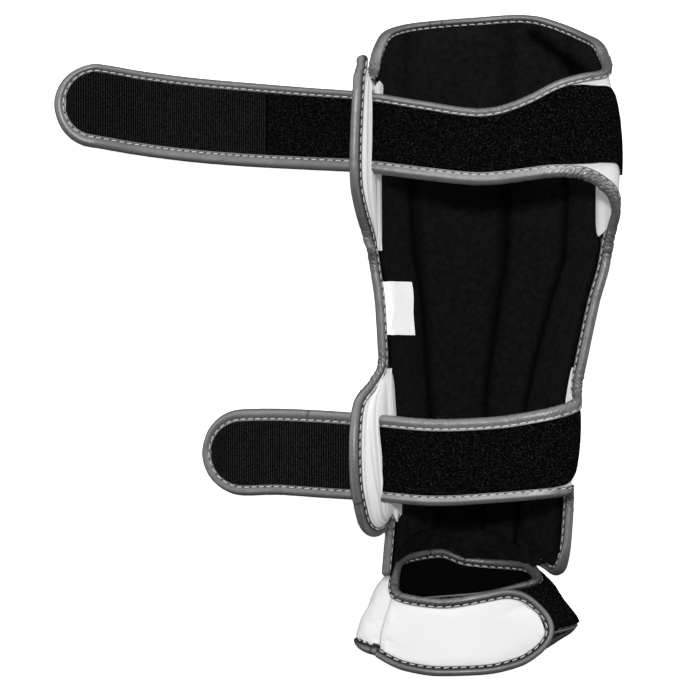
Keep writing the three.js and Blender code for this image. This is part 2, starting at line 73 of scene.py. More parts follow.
# Layers of cloth, leather and foam, in mm
GAP = 0.3
FOAM_SHIN = 14.5
FOAM_RIM = 4.5
SHELL = 3.4
LINING = 2.2
LINING_WALL = 1.6
GUSSET_WALL = 1.2
LABEL_WALL = 0.4
WING = 3.0
STRAP = 2.4
TAPE = 1.8
INSTEP_LINING = 2.0
INSTEP_WALL = 2.2
INSTEP_STRAP = 4.5
FACING = 0.9
FACING_ROUND = 14
FACING_LIFT = 0.5
INSTEP_EDGE = 2.6
RIM_LIFT = (LINING - FOAM_RIM) / 2
INSTEP_LIFT = -(INSTEP_EDGE + GAP + INSTEP_LINING) / 2
INSTEP_STRAP_LIFT = 0.6

# Thickness of the folded binding round each kind of edge
BINDING_PAD = 7.4
BINDING_STRAP = 6.2
BINDING_WING = 5.4
BINDING_INSTEP = 6.4

# The shin trough: an elliptical arc across, from -1 at the left rim to 1 at the right rim
TROUGH_SWEEP = 75 * DEGREE
SHIN = table(
    "y left right rim floor",
    (-165, -67.6, 52.3, 57, 12.5),
    (-110, -63.8, 56.1, 62, 12),
    (-75, -65, 56.8, 64.5, 12),
    (-40, -67.4, 58.8, 67, 12),
    (-5, -69.3, 65.2, 70.5, 12),
    (30, -71.2, 72.5, 73, 12),
    (66, -75.6, 80.9, 74.5, 12),
    (105, -76.5, 81.3, 75, 12),
    (190, -76.5, 81, 75, 12.5),
    (240, -76, 81, 74, 16),
)
SHIN_ENDS = table(
    "side ankle knee",
    (-1, -164, 190.5),
    (-0.92, -154, 203),
    (-0.77, -140, 217),
    (-0.46, -130, 224.2),
    (-0.1, -128.5, 228.2),
    (0.2, -135.5, 230.2),
    (0.33, -140, 229),
    (0.45, -143.5, 225.5),
    (0.59, -148.5, 220.5),
    (0.75, -153, 214.2),
    (0.86, -156, 210.4),
    (0.93, -154.8, 206.2),
    (1, -143.5, 199),
)
# Where the quilted lining's three seams lie across the trough, from the ankle at 0 to the knee at 1
SEAMS = table(
    "v left middle right",
    (0, -0.36, 0.06, 0.36),
    (0.28, -0.45, 0.085, 0.45),
    (0.66, -0.58, 0.15, 0.6),
    (1, -0.63, 0.16, 0.62),
)
CHANNELS = 4
CHANNEL_COLUMNS = 14
# Where the facings hold the lining down: the side that they reach in to, and their span along y
HELD_BY_FACINGS = ((-0.82, 62, 186), (-0.82, -118, -20), (0.86, 76, 188))
# The fold in the lining below the top right corner, from end to end along x and y
CORNER_FOLD = np.array([(34, 221), (70, 189)], float)
CORNER_FOLD_WIDTH = 4.5
CORNER_FOLD_DEPTH = 3.5

# The left wings: base is where each row leaves the rim along y, and x, y, z are its free edge.
# Its facing is sewn to the lining at sewn along y, an inset inside the rim
WING_COLUMNS = "base x y z belly sewn inset"
LEFT_LOWER_WING = table(
    WING_COLUMNS,
    (-117, -71, -125, 66, 0, -123, 1.5),
    (-115, -75.8, -127.6, 71, 3, -121, 3),
    (-112, -81.3, -123, 78, 5, -116, 3.4),
    (-105, -84.8, -110.5, 84.5, 6.5, -108, 3.2),
    (-96, -87.3, -96, 88.5, 6, -97, 3),
    (-76, -88.3, -76, 91, 2.5, -76, 2.4),
    (-56, -87.8, -56, 89.5, -0.5, -56, 2.2),
    (-39, -85, -40, 83.5, 0, -39, 2.2),
    (-27, -77.6, -30.5, 76.5, 0.5, -27, 2),
    (-16, -71, -17.5, 70.6, 0, -16, 0.6),
)
LEFT_UPPER_WING = table(
    WING_COLUMNS,
    (66, -77.6, 66, 76.5, 0, 66, 0.4),
    (78, -79.5, 80, 82.5, 4, 78, 1.2),
    (91, -84, 94, 92, 6, 91, 1.5),
    (107, -87.5, 109, 99, 7, 107, 1.5),
    (124, -88.5, 124, 102, 7, 124, 1.5),
    (150, -88, 152, 103.5, 7, 150, 1.5),
    (168, -86.9, 174, 103, 6, 169, 2.2),
    (175, -85.5, 186, 100.5, 4, 178, 2.7),
    (179, -83.7, 191, 97, 0, 184, 2.7),
)
# The slots in the left wings that the straps pass through
SLOT_HEIGHT = 8.6
SLOT_SPARE = 13
SLOT_DEPTH = 20
SLOT_ROUND = 3

# Each strap from the right rim to its tip: its middle line, how its wing leans and bulges, and its edges
STRAP_COLUMNS = "x z lean drop top bottom"
UPPER_STRAP = table(
    STRAP_COLUMNS,
    (82, 76.5, -1, 0, 187.5, 75.8),
    (88, 86, -2, 3, 187.5, 87.3),
    (90.5, 97, -3, 4.5, 186.5, 99.8),
    (84, 106.5, -2, 2.5, 184.5, 111.3),
    (68, 111.5, 0, 0, 182.9, 120.8),
    (50, 112, 0, 0, 177.9, 122.8),
    (29, 109.5, 0, 0, 167.4, 120.8),
    (9, 106, 0, 0, 160.4, 118.3),
    (-9, 103, 0, 0, 158.9, 117.8),
    (-45, 97, 0, 0, 164.4, 121.8),
    (-84, 90, 0, 0, 170.9, 126.8),
    (-125, 76, 0, 0, 174.9, 129.6),
    (-165, 56, 0, 0, 179.4, 132.6),
    (-205, 33, 0, 0, 184.4, 136.8),
    (-245, 11, 0, 0, 190.9, 142.8),
    (-275, 2.4, 0, 0, 196.4, 148.3),
)
LOWER_STRAP = table(
    STRAP_COLUMNS,
    (58.5, 68, 1.5, 1, -32, -97),
    (61.8, 77, 2.5, 1.8, -38.5, -97.5),
    (61.5, 86, 2.6, 2.2, -43.3, -98),
    (53, 92.5, 1.5, 1, -47.5, -99),
    (37, 94, 0, 0, -51.5, -100.5),
    (9, 91, 0, 0, -56, -103),
    (-36, 84.5, 0, 0, -58, -105.5),
    (-77, 77, 0, 0, -54.8, -102.5),
    (-115, 65, 0, 0, -52.3, -100.5),
    (-145, 51, 0, 0, -51.3, -99),
    (-168.7, 38, 0, 0, -51.8, -100),
)
# How high the straps' tips lie and how they are rounded, and the tape on the straps
UPPER_TIP_Z = 2.2
LOWER_TIP_Z = 26
TIP_STEPS = 5
TIP_TURN = 80 * DEGREE
TAPE_INSET = 1.5
TAPE_WIDTH = 52
PILE_HEIGHT = 0.3
HOOK_ROWS = 45

# The instep sleeve, and the pad's and the strap's edges round it by angle
SLEEVE_X = -11
SLEEVE = table(
    "y left right high",
    (-232, 81, 80, 77),
    (-205, 79.3, 80, 76),
    (-193, 76, 75.4, 75.5),
    (-180, 70.3, 65.5, 75),
    (-170, 65, 59, 74),
    (-160, 57, 50, 73),
    (-143, 45.5, 44, 72),
)
INSTEP = table(
    "angle ankle toe thick sink",
    (142.5, -174, -210.5, 6, 0),
    (165, -160, -207.3, 6, 0),
    (185, -153.5, -204.8, 7, 0),
    (215, -150.5, -207, 8, 0),
    (245, -149.5, -213, 8, 0),
    (270, -156, -218.5, 8, 0),
    (300, -157.5, -216, 8, 0),
    (330, -157.5, -203, 7, 0),
    (360, -162, -195.5, 5, 0),
    (390, -168, -198, 3.5, 2),
    (425, -172, -204, 2.5, 4),
    (490, -178, -204, 2.5, 4),
)
# The angles where the flap without foam starts, where the lining ends and where the loop patch lies
FLAP_START = 330
LINING_END = 392
LOOP_PATCH = (338, 489)
LOOP_PATCH_SIZE = (190, 30)
LOOP_PATCH_PILE = 0.25
INSTEP_STRAP_EDGES = table(
    "angle ankle toe",
    (49, -187.5, -201),
    (51, -183.5, -204.8),
    (56, -178, -211),
    (66, -175.5, -218.3),
    (84, -178.5, -223.4),
    (105, -182, -224.4),
    (122, -180.5, -221.5),
    (141.5, -176.5, -212.4),
)
# Where the gusset is sewn, across the trough and round the sleeve, and where the care label lies
GUSSET_SIDES = (-0.95, 0.95)
GUSSET_ANGLES = (188, 352)
LABEL_SIDES = (-1.05, -0.675)
LABEL_Y = (7.3, 44)

# The binding's section beside a cloth edge: how far out, the share of the half thickness, mm above that,
# and the painted shade for the light that the stitch groove, the lip's edge and the fold's outer edge keep
# out
BINDING_SECTION = table(
    "out rise above shadow",
    (-1.1, 1, -1.8, 0.9),
    (-1.3, 1, -1.1, 0.6),
    (-1.2, 1, -0.65, 0.2),
    (-0.9, 1, -0.55, 0.15),
    (-0.5, 1, -0.8, 0.7),
    (-0.1, 1, -1.2, 1),
    (0.5, 1, -0.95, 0.95),
    (1.2, 1, -0.3, 0.7),
    (2.0, 1, 0.25, 0.35),
    (2.8, 1, 0.5, 0.1),
    (3.6, 0.97, 0.5, 0),
    (4.4, 0.84, 0.4, 0),
    (5.1, 0.6, 0.25, 0),
    (5.65, 0.32, 0.1, 0.15),
    (5.9, 0, 0, 0.3),
)
# How much of that shadow lies in the stitch groove of each kind of edge
GROOVE_RIM = 0.75
GROOVE_STRAP = 0.35
GROOVE_WING = 0.95
GROOVE_INSTEP = 0.8
GROOVE_TOE = 1.3
# Where the stitches lie on that section, and their slant
STITCH_OUT = -0.1
STITCH_SUNK = 0.75
STITCH_SLANT = 4 * DEGREE
# The strip's stations, how its ends are rounded, and the puckers across it, in mm and shares
PATH_STEP = 1.1
END_ROUND = 3.8
INSTEP_END_ROUND = 1.4
PUCKER_LENGTHS = (3.1, 4.7, 7.3, 15.0)
PUCKER_SIZE = 0.16
PUCKER_SHADE = 0.4
# How far the folds along the open rims lean up to the eye
RIM_LEAN = 0.8
# How wide a wing's fold is, upright and turned flat
WING_WIDE = 1.25
WING_FLAT_WIDE = 1.12
# Where a binding's ends meet under a fold, as x and y
JOINTS = {
    "right_edge_fold": ((-40, 230), (-31, 231), (-123, -47), (79, 66)),
    "left_edge_fold": ((-91, -109),),
    "instep_ring_fold": ((-39, -146),),
    "instep_toe_fold": ((-78, -212),),
}
JOINT_WIDTH = 0.9
JOINT_PINCH = 0.06
JOINT_SHADE = 0.7


# Curves and surfaces

def lerp(start, end, share):
    return start + (end - start) * share


def smoothstep(value, low, high):
    share = np.clip((value - low) / (high - low), 0, 1)
    return share * share * (3 - 2 * share)


def unit(vectors):
    return vectors / np.maximum(np.linalg.norm(vectors, axis=-1, keepdims=True), 1e-12)


def hermite(start, leave, end, meet, share):
    """A cubic from start to end that leaves and meets them along two given directions."""
    square = share * share
    cube = square * share
    ends = start * (2 * cube - 3 * square + 1) + end * (3 * square - 2 * cube)
    return ends + leave * (cube - 2 * square + share) + meet * (cube - square)


def look_up(rows, key, column, at):
    """A column's value at places along the key column, on a smooth curve that never overshoots its rows."""
    x = rows[key]
    y = rows[column]
    slope = np.diff(y) / np.diff(x)
    before, after = slope[:-1], slope[1:]
    same_way = before * after > 0
    mean = 2 * before * after / np.where(same_way, before + after, 1)
    tangent = np.concatenate([slope[:1], np.where(same_way, mean, 0), slope[-1:]])
    place = np.clip(at, x[0], x[-1])
    i = np.clip(np.searchsorted(x, place, side="right") - 1, 0, len(x) - 2)
    span = x[i + 1] - x[i]
    return hermite(y[i], tangent[i] * span, y[i + 1], tangent[i + 1] * span, (place - x[i]) / span)


def smooth_line(points, share):
    """A smooth curve through points, evenly in their count. Points may be one list, or one list per share.

    Its tangents follow the lengths of the spans, so that a short span beside a long one makes no loop.
    """
    share = np.asarray(share, float)
    padded = np.concatenate([2 * points[:1] - points[1:2], points, 2 * points[-1:] - points[-2:-1]])
    spans = np.maximum(np.linalg.norm(np.diff(padded, axis=0), axis=-1, keepdims=True), 1e-9)
    place = np.clip(share, 0, 1) * (len(points) - 1)
    i = np.minimum(place.astype(int), len(points) - 2)
    own = () if points.ndim == 2 else (np.arange(len(share)),)
    p0, p1, p2, p3 = (padded[(i + k, *own)] for k in range(4))
    d0, d1, d2 = (spans[(i + k, *own)] for k in range(3))
    leave = (p2 - p0) * d1 / (d0 + d1)
    meet = (p3 - p1) * d1 / (d1 + d2)
    return hermite(p1, leave, p2, meet, (place - i)[..., None])


def normal_of(surface, u, v, reach=1e-3):
    """The unit normal of a surface of (u, v)."""
    low = min(0, np.min(v))
    high = max(1, np.max(v))
    along_u = surface(np.clip(u + reach, 0, 1), v) - surface(np.clip(u - reach, 0, 1), v)
    along_v = surface(u, np.clip(v + reach, low, high)) - surface(u, np.clip(v - reach, low, high))
    return unit(np.cross(along_u, along_v))


def above_floor(points):
    points[..., 2] = np.maximum(points[..., 2], 0)
    return points


def off(surface, u, v, distance):
    """Points off a surface along its normal, never below the floor."""
    u, v = np.broadcast_arrays(np.asarray(u, float), np.asarray(v, float))
    distance = np.broadcast_to(distance, u.shape)
    return above_floor(surface(u, v) + normal_of(surface, u, v) * distance[..., None])


def trough_point(side, y):
    """The shin pad's sewing surface, between lining and foam. Its normal points to the leg."""
    names = ("left", "right", "rim", "floor")
    left, right, rim, floor = (look_up(SHIN, "y", name, y) for name in names)
    turn = side * TROUGH_SWEEP
    across = np.sin(turn) / math.sin(TROUGH_SWEEP)
    rise = (1 - np.cos(turn)) / (1 - math.cos(TROUGH_SWEEP))
    x = (left + right + across * (right - left)) / 2
    return np.stack([x, y + 0 * x, lerp(floor, rim, rise)], -1)


def side_inside(rim, inset, y):
    """The place across the trough that lies an inset, seen from above, inside the left or right rim."""
    width = look_up(SHIN, "y", "right", y) - look_up(SHIN, "y", "left", y)
    return rim * np.arcsin(math.sin(TROUGH_SWEEP) * (1 - 2 * inset / width)) / TROUGH_SWEEP


def shin_end(side, column):
    return look_up(SHIN_ENDS, "side", column, side)


def trough(u, v):
    side = 2 * u - 1
    return trough_point(side, lerp(shin_end(side, "ankle"), shin_end(side, "knee"), v))


def rim_stretch(side, y_from, y_to):
    """A stretch of one rim, as a surface whose v runs along y."""
    return lambda u, v: trough_point(side + (u - 0.5) * 0.02, lerp(y_from, y_to, v))


def left_wing(rows):
    """A flap on the left rim that leaves it straight on and bends out. Its normal points to the leg.

    Its belly is how far the bend stands in towards the leg.
    """
    free = np.stack([rows["x"], rows["y"], rows["z"]], -1)
    base = rows["base"]
    upright = unit(trough_point(-1.01, base) - trough_point(-0.99, base))
    along = trough_point(-1, base + 1) - trough_point(-1, base - 1)
    to_leg = unit(np.cross(-upright, along))
    rim = trough_point(-1, base) - to_leg * FOAM_RIM / 2
    reach = np.linalg.norm(free - rim, axis=1, keepdims=True)
    root = rim + upright * 1.5 * GAP
    bend = rim + upright * 0.62 * reach + to_leg * rows["belly"][:, None]

    def surface(u, v):
        v = np.asarray(v, float)[..., None]
        low, middle, high = (smooth_line(points, u) for points in (root, bend, free))
        return low * (1 - v) ** 2 + middle * 2 * v * (1 - v) + high * v ** 2

    return surface


def ribbon(rows, tip_z):
    """A strap from the right rim to its round tip. Its normal points away from the leg, and v runs down y."""
    last = {name: column[-1] for name, column in rows.items()}
    radius = (last["top"] - last["bottom"]) / 2
    middle = (last["top"] + last["bottom"]) / 2
    turn = np.linspace(0, TIP_TURN, TIP_STEPS + 1)[1:]
    x = np.concatenate([rows["x"], last["x"] - radius * np.sin(turn)])
    z = np.concatenate([rows["z"], lerp(last["z"], tip_z, np.sin(turn))])
    lean, drop = (np.concatenate([rows[name], 0 * turn]) for name in ("lean", "drop"))
    high = np.concatenate([rows["top"], middle + radius * np.cos(turn)])
    low = np.concatenate([rows["bottom"], middle - radius * np.cos(turn)])
    top = np.stack([x + lean - drop, high, z], -1)
    bottom = np.stack([x - lean - drop, low, z], -1)
    bulge = np.stack([drop, 0 * drop, 0 * drop], -1)

    def surface(u, v):
        v = np.asarray(v, float)[..., None]
        edge = lerp(smooth_line(top, u), smooth_line(bottom, u), v)
        return edge + smooth_line(bulge, u) * 4 * v * (1 - v)

    return surface


def along_ribbon(rows, row):
    """Where a place counted in rows lies along a ribbon, from 0 to 1."""
    return row / (len(rows["x"]) - 1 + TIP_STEPS)


def sleeve_point(angle, y, out=0):
    """The instep sleeve's outer surface. Its normal points away from the foot."""
    turn = angle * DEGREE
    left, right, high = (look_up(SLEEVE, "y", name, y) for name in ("left", "right", "high"))
    half = np.where(np.cos(turn) < 0, left, right) + out
    high = high / 2
    return np.stack([SLEEVE_X + half * np.cos(turn), y + 0 * half, high + (high + out) * np.sin(turn)], -1)


def instep_at(angle, column):
    return look_up(INSTEP, "angle", column, angle)


def instep_angle(u):
    return lerp(INSTEP["angle"][0], INSTEP["angle"][-1], u)


def instep(u, v):
    angle = instep_angle(u)
    y = lerp(instep_at(angle, "ankle"), instep_at(angle, "toe"), v)
    return sleeve_point(angle, y, -instep_at(angle, "sink"))


def instep_share(angle):
    return (angle - INSTEP["angle"][0]) / (INSTEP["angle"][-1] - INSTEP["angle"][0])


def instep_strap(u, v):
    """The strap under the foot, from its round end on the right to its root on the left flank."""
    angle = lerp(INSTEP_STRAP_EDGES["angle"][0], INSTEP_STRAP_EDGES["angle"][-1], u)
    ankle, toe = (look_up(INSTEP_STRAP_EDGES, "angle", name, angle) for name in ("ankle", "toe"))
    out = 3 * GAP + TAPE + INSTEP_STRAP / 2 - instep_at(angle + 360, "sink")
    return sleeve_point(angle, lerp(ankle, toe, v), out)


def gusset(u, v):
    """The ankle cloth, ruled from the trough's ankle end to the inside of the instep pad's ankle edge."""
    side = lerp(*GUSSET_SIDES, u)
    angle = lerp(*GUSSET_ANGLES, u)
    near = trough_point(side, shin_end(side, "ankle") + 4)
    near[..., 2] += 1.2
    far = sleeve_point(angle, instep_at(angle, "ankle") + 3.5, INSTEP_LIFT - 0.8)
    return lerp(near, far, np.asarray(v, float)[..., None])


upper_ribbon = ribbon(UPPER_STRAP, UPPER_TIP_Z)
lower_ribbon = ribbon(LOWER_STRAP, LOWER_TIP_Z)
left_upper = left_wing(LEFT_UPPER_WING)
left_lower = left_wing(LEFT_LOWER_WING)


# Meshes

def pick(*pieces):
    """Selects these pieces and no others, with the first one active."""
    bpy.ops.object.select_all(action="DESELECT")
    for piece in reversed(pieces):
        piece.select_set(True)
        bpy.context.view_layer.objects.active = piece


def points_of(piece):
    points = np.empty(len(piece.data.vertices) * 3)
    piece.data.vertices.foreach_get("co", points)
    return points.reshape(-1, 3)


def set_points(piece, points):
    piece.data.vertices.foreach_set("co", np.ascontiguousarray(points, float).ravel())
    piece.data.update()


def normals_of(piece):
    normals = np.empty(len(piece.data.vertices) * 3, np.float32)
    piece.data.vertex_normals.foreach_get("vector", normals)
    return normals.reshape(-1, 3)


def lay_rows(name, rows):
    """Adds a grid and moves it onto rows of points in mm. Its UV map holds real metres across and along."""
    count, width = rows.shape[:2]
    pick()
    bpy.ops.mesh.primitive_grid_add(x_subdivisions=width - 1, y_subdivisions=count - 1, size=2)
    piece = bpy.context.object
    piece.name = name
    piece.data.name = name
    flat = points_of(piece)
    column = np.rint((flat[:, 0] + 1) / 2 * (width - 1)).astype(int)
    row = np.rint((flat[:, 1] + 1) / 2 * (count - 1)).astype(int)
    set_points(piece, rows[row, column] * MM)
    across = np.linalg.norm(np.diff(rows, axis=1), axis=-1).mean(0).cumsum() * MM
    along = np.linalg.norm(np.diff(rows, axis=0), axis=-1).mean(1).cumsum() * MM
    corner = np.empty(len(piece.data.loops), int)
    piece.data.loops.foreach_get("vertex_index", corner)
    unrolled = np.stack([np.append(0, across)[column], np.append(0, along)[row]], -1)[corner]
    piece.data.uv_layers.active.data.foreach_set("uv", unrolled.ravel())
    return piece


def keep(piece, name, values):
    """Keeps a value for each point of a laid grid, such as the light that it loses, for its material."""
    piece.data.attributes.new(name, "FLOAT", "POINT").data.foreach_set("value", np.ravel(values))


def flat_grid(us, vs):
    """The u and the v of each point of a laid grid."""
    return (part.ravel() for part in np.meshgrid(us, vs))


def grid_border(columns, rows, sides=True):
    """Which points of a laid grid lie on its first and last row, and on its sides."""
    border = np.zeros((len(rows), len(columns)), bool)
    border[[0, -1]] = True
    border[:, [0, -1]] |= sides
    return border.ravel()


def lay_cloth(name, surface, us, vs, distance=0.0):
    """Adds a grid on a surface of (u, v), with a column for each u and a row for each v."""
    u, v = flat_grid(us, vs)
    level = distance(u, v) if callable(distance) else distance
    return lay_rows(name, off(surface, u, v, level).reshape(len(vs), len(us), 3))


def apply(piece, modifier):
    bpy.context.view_layer.objects.active = piece
    bpy.ops.object.modifier_apply(modifier=modifier.name)


def thicken(piece, thickness, offset):
    """Gives a sheet its wall, to the side of its normals that the offset says."""
    wall = piece.modifiers.new("Wall", "SOLIDIFY")
    wall.thickness = thickness * MM
    wall.offset = offset
    apply(piece, wall)


def subdivide(piece):
    smooth = piece.modifiers.new("Smooth", "SUBSURF")
    smooth.levels = 1
    smooth.render_levels = 1
    smooth.boundary_smooth = "PRESERVE_CORNERS"
    apply(piece, smooth)


def push(piece, distance):
    """Moves the first points of a piece along their normals, in mm."""
    points = points_of(piece)
    count = len(distance)
    points[:count] += normals_of(piece)[:count] * distance[:, None] * MM
    set_points(piece, above_floor(points))


def edit(piece, *steps):
    """Runs mesh operators on all of a piece in edit mode."""
    pick(piece)
    bpy.ops.object.mode_set(mode="EDIT")
    bpy.ops.mesh.select_all(action="SELECT")
    for operator, settings in steps:
        operator(**settings)
    bpy.ops.object.mode_set(mode="OBJECT")


def soften(piece, angle=50):
    pick(piece)
    bpy.ops.object.shade_smooth_by_angle(angle=angle * DEGREE)


def join(first, *others):
    """Joins pieces of the same finish into the first one."""
    pick(first, *others)
    bpy.ops.object.join()


def swell(piece, sewn, pressure, most, spare=0.01, frames=18):
    """Fills a sewn pad: a cloth simulation blows it up between its sewn points, by so many mm at most."""
    flat = points_of(piece)
    piece.vertex_groups.new(name="sewn").add([int(i) for i in np.flatnonzero(sewn)], 1, "REPLACE")
    filling = piece.modifiers.new("Filling", "CLOTH")
    cloth = filling.settings
    cloth.quality = 6
    cloth.mass = 0.05
    cloth.tension_stiffness = 8
    cloth.compression_stiffness = 8
    cloth.shear_stiffness = 4
    cloth.bending_stiffness = 0.05
    cloth.vertex_group_mass = "sewn"
    cloth.shrink_min = -spare
    cloth.use_pressure = True
    cloth.uniform_pressure_force = pressure
    cloth.effector_weights.gravity = 0
    filling.point_cache.frame_start = 1
    filling.point_cache.frame_end = frames
    for number in range(1, frames + 1):
        bpy.context.scene.frame_set(number)
    apply(piece, filling)
    bpy.context.scene.frame_set(1)
    moved = points_of(piece) - flat
    length = np.linalg.norm(moved, axis=1, keepdims=True)
    limit = most * MM
    capped = moved / np.maximum(length, 1e-9) * limit * np.tanh(length / limit)
    set_points(piece, above_floor(flat + capped))
    piece.vertex_groups.clear()


def hand_over(piece, material, slot, *nodes):
    """Gives a piece its material and body, and names the frame's nodes that it stands for. Its slot is not
    used.
    """
    piece.data.materials.clear()
    piece.data.materials.append(material)
    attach(piece, "root")
    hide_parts(*nodes)


def make_up(piece, wall, material, slot, node):
    """Gives a pad its wall, away from its normals, smooths it and hands it over."""
    thicken(piece, wall, -1)
    subdivide(piece)
    soften(piece)
    hand_over(piece, material, slot, node)


# Materials

# The scale of a wave texture with one band to a metre
ONE_BAND = 2 * math.pi / 20


def add_node(tree, kind, inputs=(), **settings):
    """Adds a shader node with its settings, and sets or links its inputs by name or number.

    A colour mix has its factor and its two colours at inputs 0, 6 and 7, and its result at output 2.
    """
    made = tree.nodes.new("ShaderNode" + kind)
    for name, value in settings.items():
        setattr(made, name, value)
    for name, value in dict(inputs).items():
        if isinstance(value, bpy.types.NodeSocket):
            tree.links.new(value, made.inputs[name])
        else:
            made.inputs[name].default_value = value
    return made


def shade(colour, share):
    return (*(part * share for part in colour), 1)


def sizes():
    return bpy.context.scene.protector_sizes


FINISHES = {}


def finish(colour_name):
    """Makes a material once, from the shader inputs that its function gives, and then shares it."""
    def named(shader_inputs):
        name = shader_inputs.__name__

        def once():
            if name not in FINISHES:
                made = bpy.data.materials.new(name)
                made.use_nodes = True
                tree = made.node_tree
                tree.nodes.clear()
                colour = getattr(bpy.context.scene.protector_colours, colour_name)
                surface = add_node(tree, "BsdfPrincipled", shader_inputs(tree, colour))
                add_node(tree, "OutputMaterial", {"Surface": surface.outputs["BSDF"]})
                FINISHES[name] = made
            return FINISHES[name]

        return once

    return named


@finish("white_leather")
def white_pu_leather(tree, colour):
    """Polyurethane-coated leather, calendered: bright white, with a soft sheen and a very fine grain."""
    place = add_node(tree, "TexCoord").outputs["Object"]
    # Pebbles of about 0.9 mm, drawn larger than the real 0.4 mm so that they show
    grain = add_node(tree, "TexVoronoi", {"Vector": place, "Scale": 1 / 0.0009}, feature="F1")
    cloud = add_node(tree, "TexNoise", {"Vector": place, "Scale": 1 / 0.035, "Detail": 3}).outputs["Fac"]
    tone = add_node(tree, "Mix", {0: cloud, 6: shade(colour, 0.95), 7: shade(colour, 1)}, data_type="RGBA")
    # Creases are darkened with painted shade
    creases = add_node(tree, "Attribute", attribute_name="shadow").outputs["Fac"]
    creased = add_node(tree, "Mix", {
        0: creases, 6: tone.outputs[2], 7: shade(colour, 0.3),
    }, data_type="RGBA")
    gloss = add_node(tree, "MapRange", {"Value": cloud, "To Min": 0.48, "To Max": 0.64})
    bump = add_node(tree, "Bump", {
        "Height": grain.outputs["Distance"], "Strength": 0.25, "Distance": 0.00012,
    })
    return {
        "Base Color": creased.outputs[2],
        "Roughness": gloss.outputs["Result"],
        "Normal": bump.outputs["Normal"],
    }


@finish("grey_leather")
def grey_binding_leather(tree, colour):
    """Dyed binding leather, folded tight: mid grey, a satin highlight along the fold and painted shade in its
    grooves.
    """
    place = add_node(tree, "TexCoord").outputs["Object"]
    # Pebbles of about 0.8 mm, drawn larger than the real ones so that they show
    grain = add_node(tree, "TexVoronoi", {"Vector": place, "Scale": 1 / 0.0008}, feature="F1")
    cloud = add_node(tree, "TexNoise", {
        "Vector": place, "Scale": 1 / 0.009, "Detail": 5, "Roughness": 0.62,
    }).outputs["Fac"]
    spread = add_node(tree, "MapRange", {"Value": cloud, "From Min": 0.3, "From Max": 0.7})
    tone = add_node(tree, "Mix", {
        0: spread.outputs["Result"], 6: shade(colour, 0.7), 7: shade(colour, 1.25),
    }, data_type="RGBA")
    # Creases 1.8 mm apart, slanting across the fold, as deep as the leather is bunched
    creases = add_node(tree, "TexWave", {
        "Vector": add_node(tree, "TexCoord").outputs["UV"], "Scale": ONE_BAND / 0.0018,
        "Distortion": 9, "Detail": 3, "Detail Scale": 0.6,
    }, bands_direction="DIAGONAL")
    sharp = add_node(tree, "MapRange", {
        "Value": creases.outputs["Fac"], "From Min": 0.45, "From Max": 0.0,
    })
    bunched = add_node(tree, "Attribute", attribute_name="bunched").outputs["Fac"]
    deep = add_node(tree, "Math", {
        0: sharp.outputs["Result"], 1: bunched,
    }, operation="MULTIPLY").outputs["Value"]
    # Painted shade: the shadow attribute darkens the grooves, the fold's edges, the puckers and the joints,
    # and the crease waves add more where the leather is bunched
    groove = add_node(tree, "Attribute", attribute_name="shadow").outputs["Fac"]
    painted_groove_shade = add_node(tree, "Math", {
        0: deep, 1: 0.4, 2: groove,
    }, operation="MULTIPLY_ADD", use_clamp=True).outputs["Value"]
    dark = add_node(tree, "Mix", {0: painted_groove_shade, 6: tone.outputs[2], 7: shade(colour, 0.1)}, data_type="RGBA")
    # The painted shade also takes out the shine in the grooves and creases
    shine = add_node(tree, "MapRange", {"Value": painted_groove_shade, "To Min": 1.0, "To Max": 0.1})
    gloss = add_node(tree, "MapRange", {
        "Value": cloud, "From Min": 0.3, "From Max": 0.7, "To Min": 0.53, "To Max": 0.42,
    })
    dents = add_node(tree, "Bump", {"Height": cloud, "Strength": 0.3, "Distance": 0.001})
    folds = add_node(tree, "Bump", {
        "Height": deep, "Strength": 0.6, "Distance": 0.0006, "Normal": dents.outputs["Normal"],
    }, invert=True)
    bump = add_node(tree, "Bump", {
        "Height": grain.outputs["Distance"], "Strength": 0.2, "Distance": 0.00015,
        "Normal": folds.outputs["Normal"],
    })
    return {
        "Base Color": dark.outputs[2],
        "Roughness": gloss.outputs["Result"],
        "IOR": 1.85,
        "Specular IOR Level": shine.outputs["Result"],
        "Normal": bump.outputs["Normal"],
    }


@finish("lining")
def brushed_knit_lining(tree, colour):
    """Brushed polyester knit over foam: near black and matt, with a soft nap that catches grazing light."""
    place = add_node(tree, "TexCoord").outputs["Object"]
    # Wales 1.1 mm apart, drawn a little coarser than the real knit so that they show
    wales = add_node(tree, "TexWave", {
        "Vector": add_node(tree, "TexCoord").outputs["UV"], "Scale": ONE_BAND / 0.0011,
        "Distortion": 1.2, "Detail": 2,
    }, bands_direction="X")
    nap = add_node(tree, "TexNoise", {"Vector": place, "Scale": 1 / 0.004, "Detail": 5, "Roughness": 0.7})
    brushed = add_node(tree, "MapRange", {"Value": nap.outputs["Fac"], "From Min": 0.3, "From Max": 0.7})
    tone = add_node(tree, "Mix", {
        0: brushed.outputs["Result"], 6: shade(colour, 0.55), 7: shade(colour, 1.45),
    }, data_type="RGBA")
    # Painted shade from the shadow attribute: the seams' valleys, the corner fold and the inside of the
    # sleeve
    painted_knit_shade = add_node(tree, "Attribute", attribute_name="shadow").outputs["Fac"]
    dark = add_node(tree, "Mix", {0: painted_knit_shade, 6: tone.outputs[2], 7: shade(colour, 0.1)}, data_type="RGBA")
    fuzz = add_node(tree, "TexNoise", {"Vector": place, "Scale": 1 / 0.0008, "Detail": 2})
    soft = add_node(tree, "Bump", {"Height": fuzz.outputs["Fac"], "Strength": 0.4, "Distance": 0.0003})
    bump = add_node(tree, "Bump", {
        "Height": wales.outputs["Fac"], "Strength": 0.25, "Distance": 0.0002,
        "Normal": soft.outputs["Normal"],
    })
    return {
        "Base Color": dark.outputs[2],
        "Roughness": 0.92,
        "Specular IOR Level": 0.0,
        "Sheen Weight": 0.005,
        "Sheen Roughness": 0.5,
        "Normal": bump.outputs["Normal"],
    }


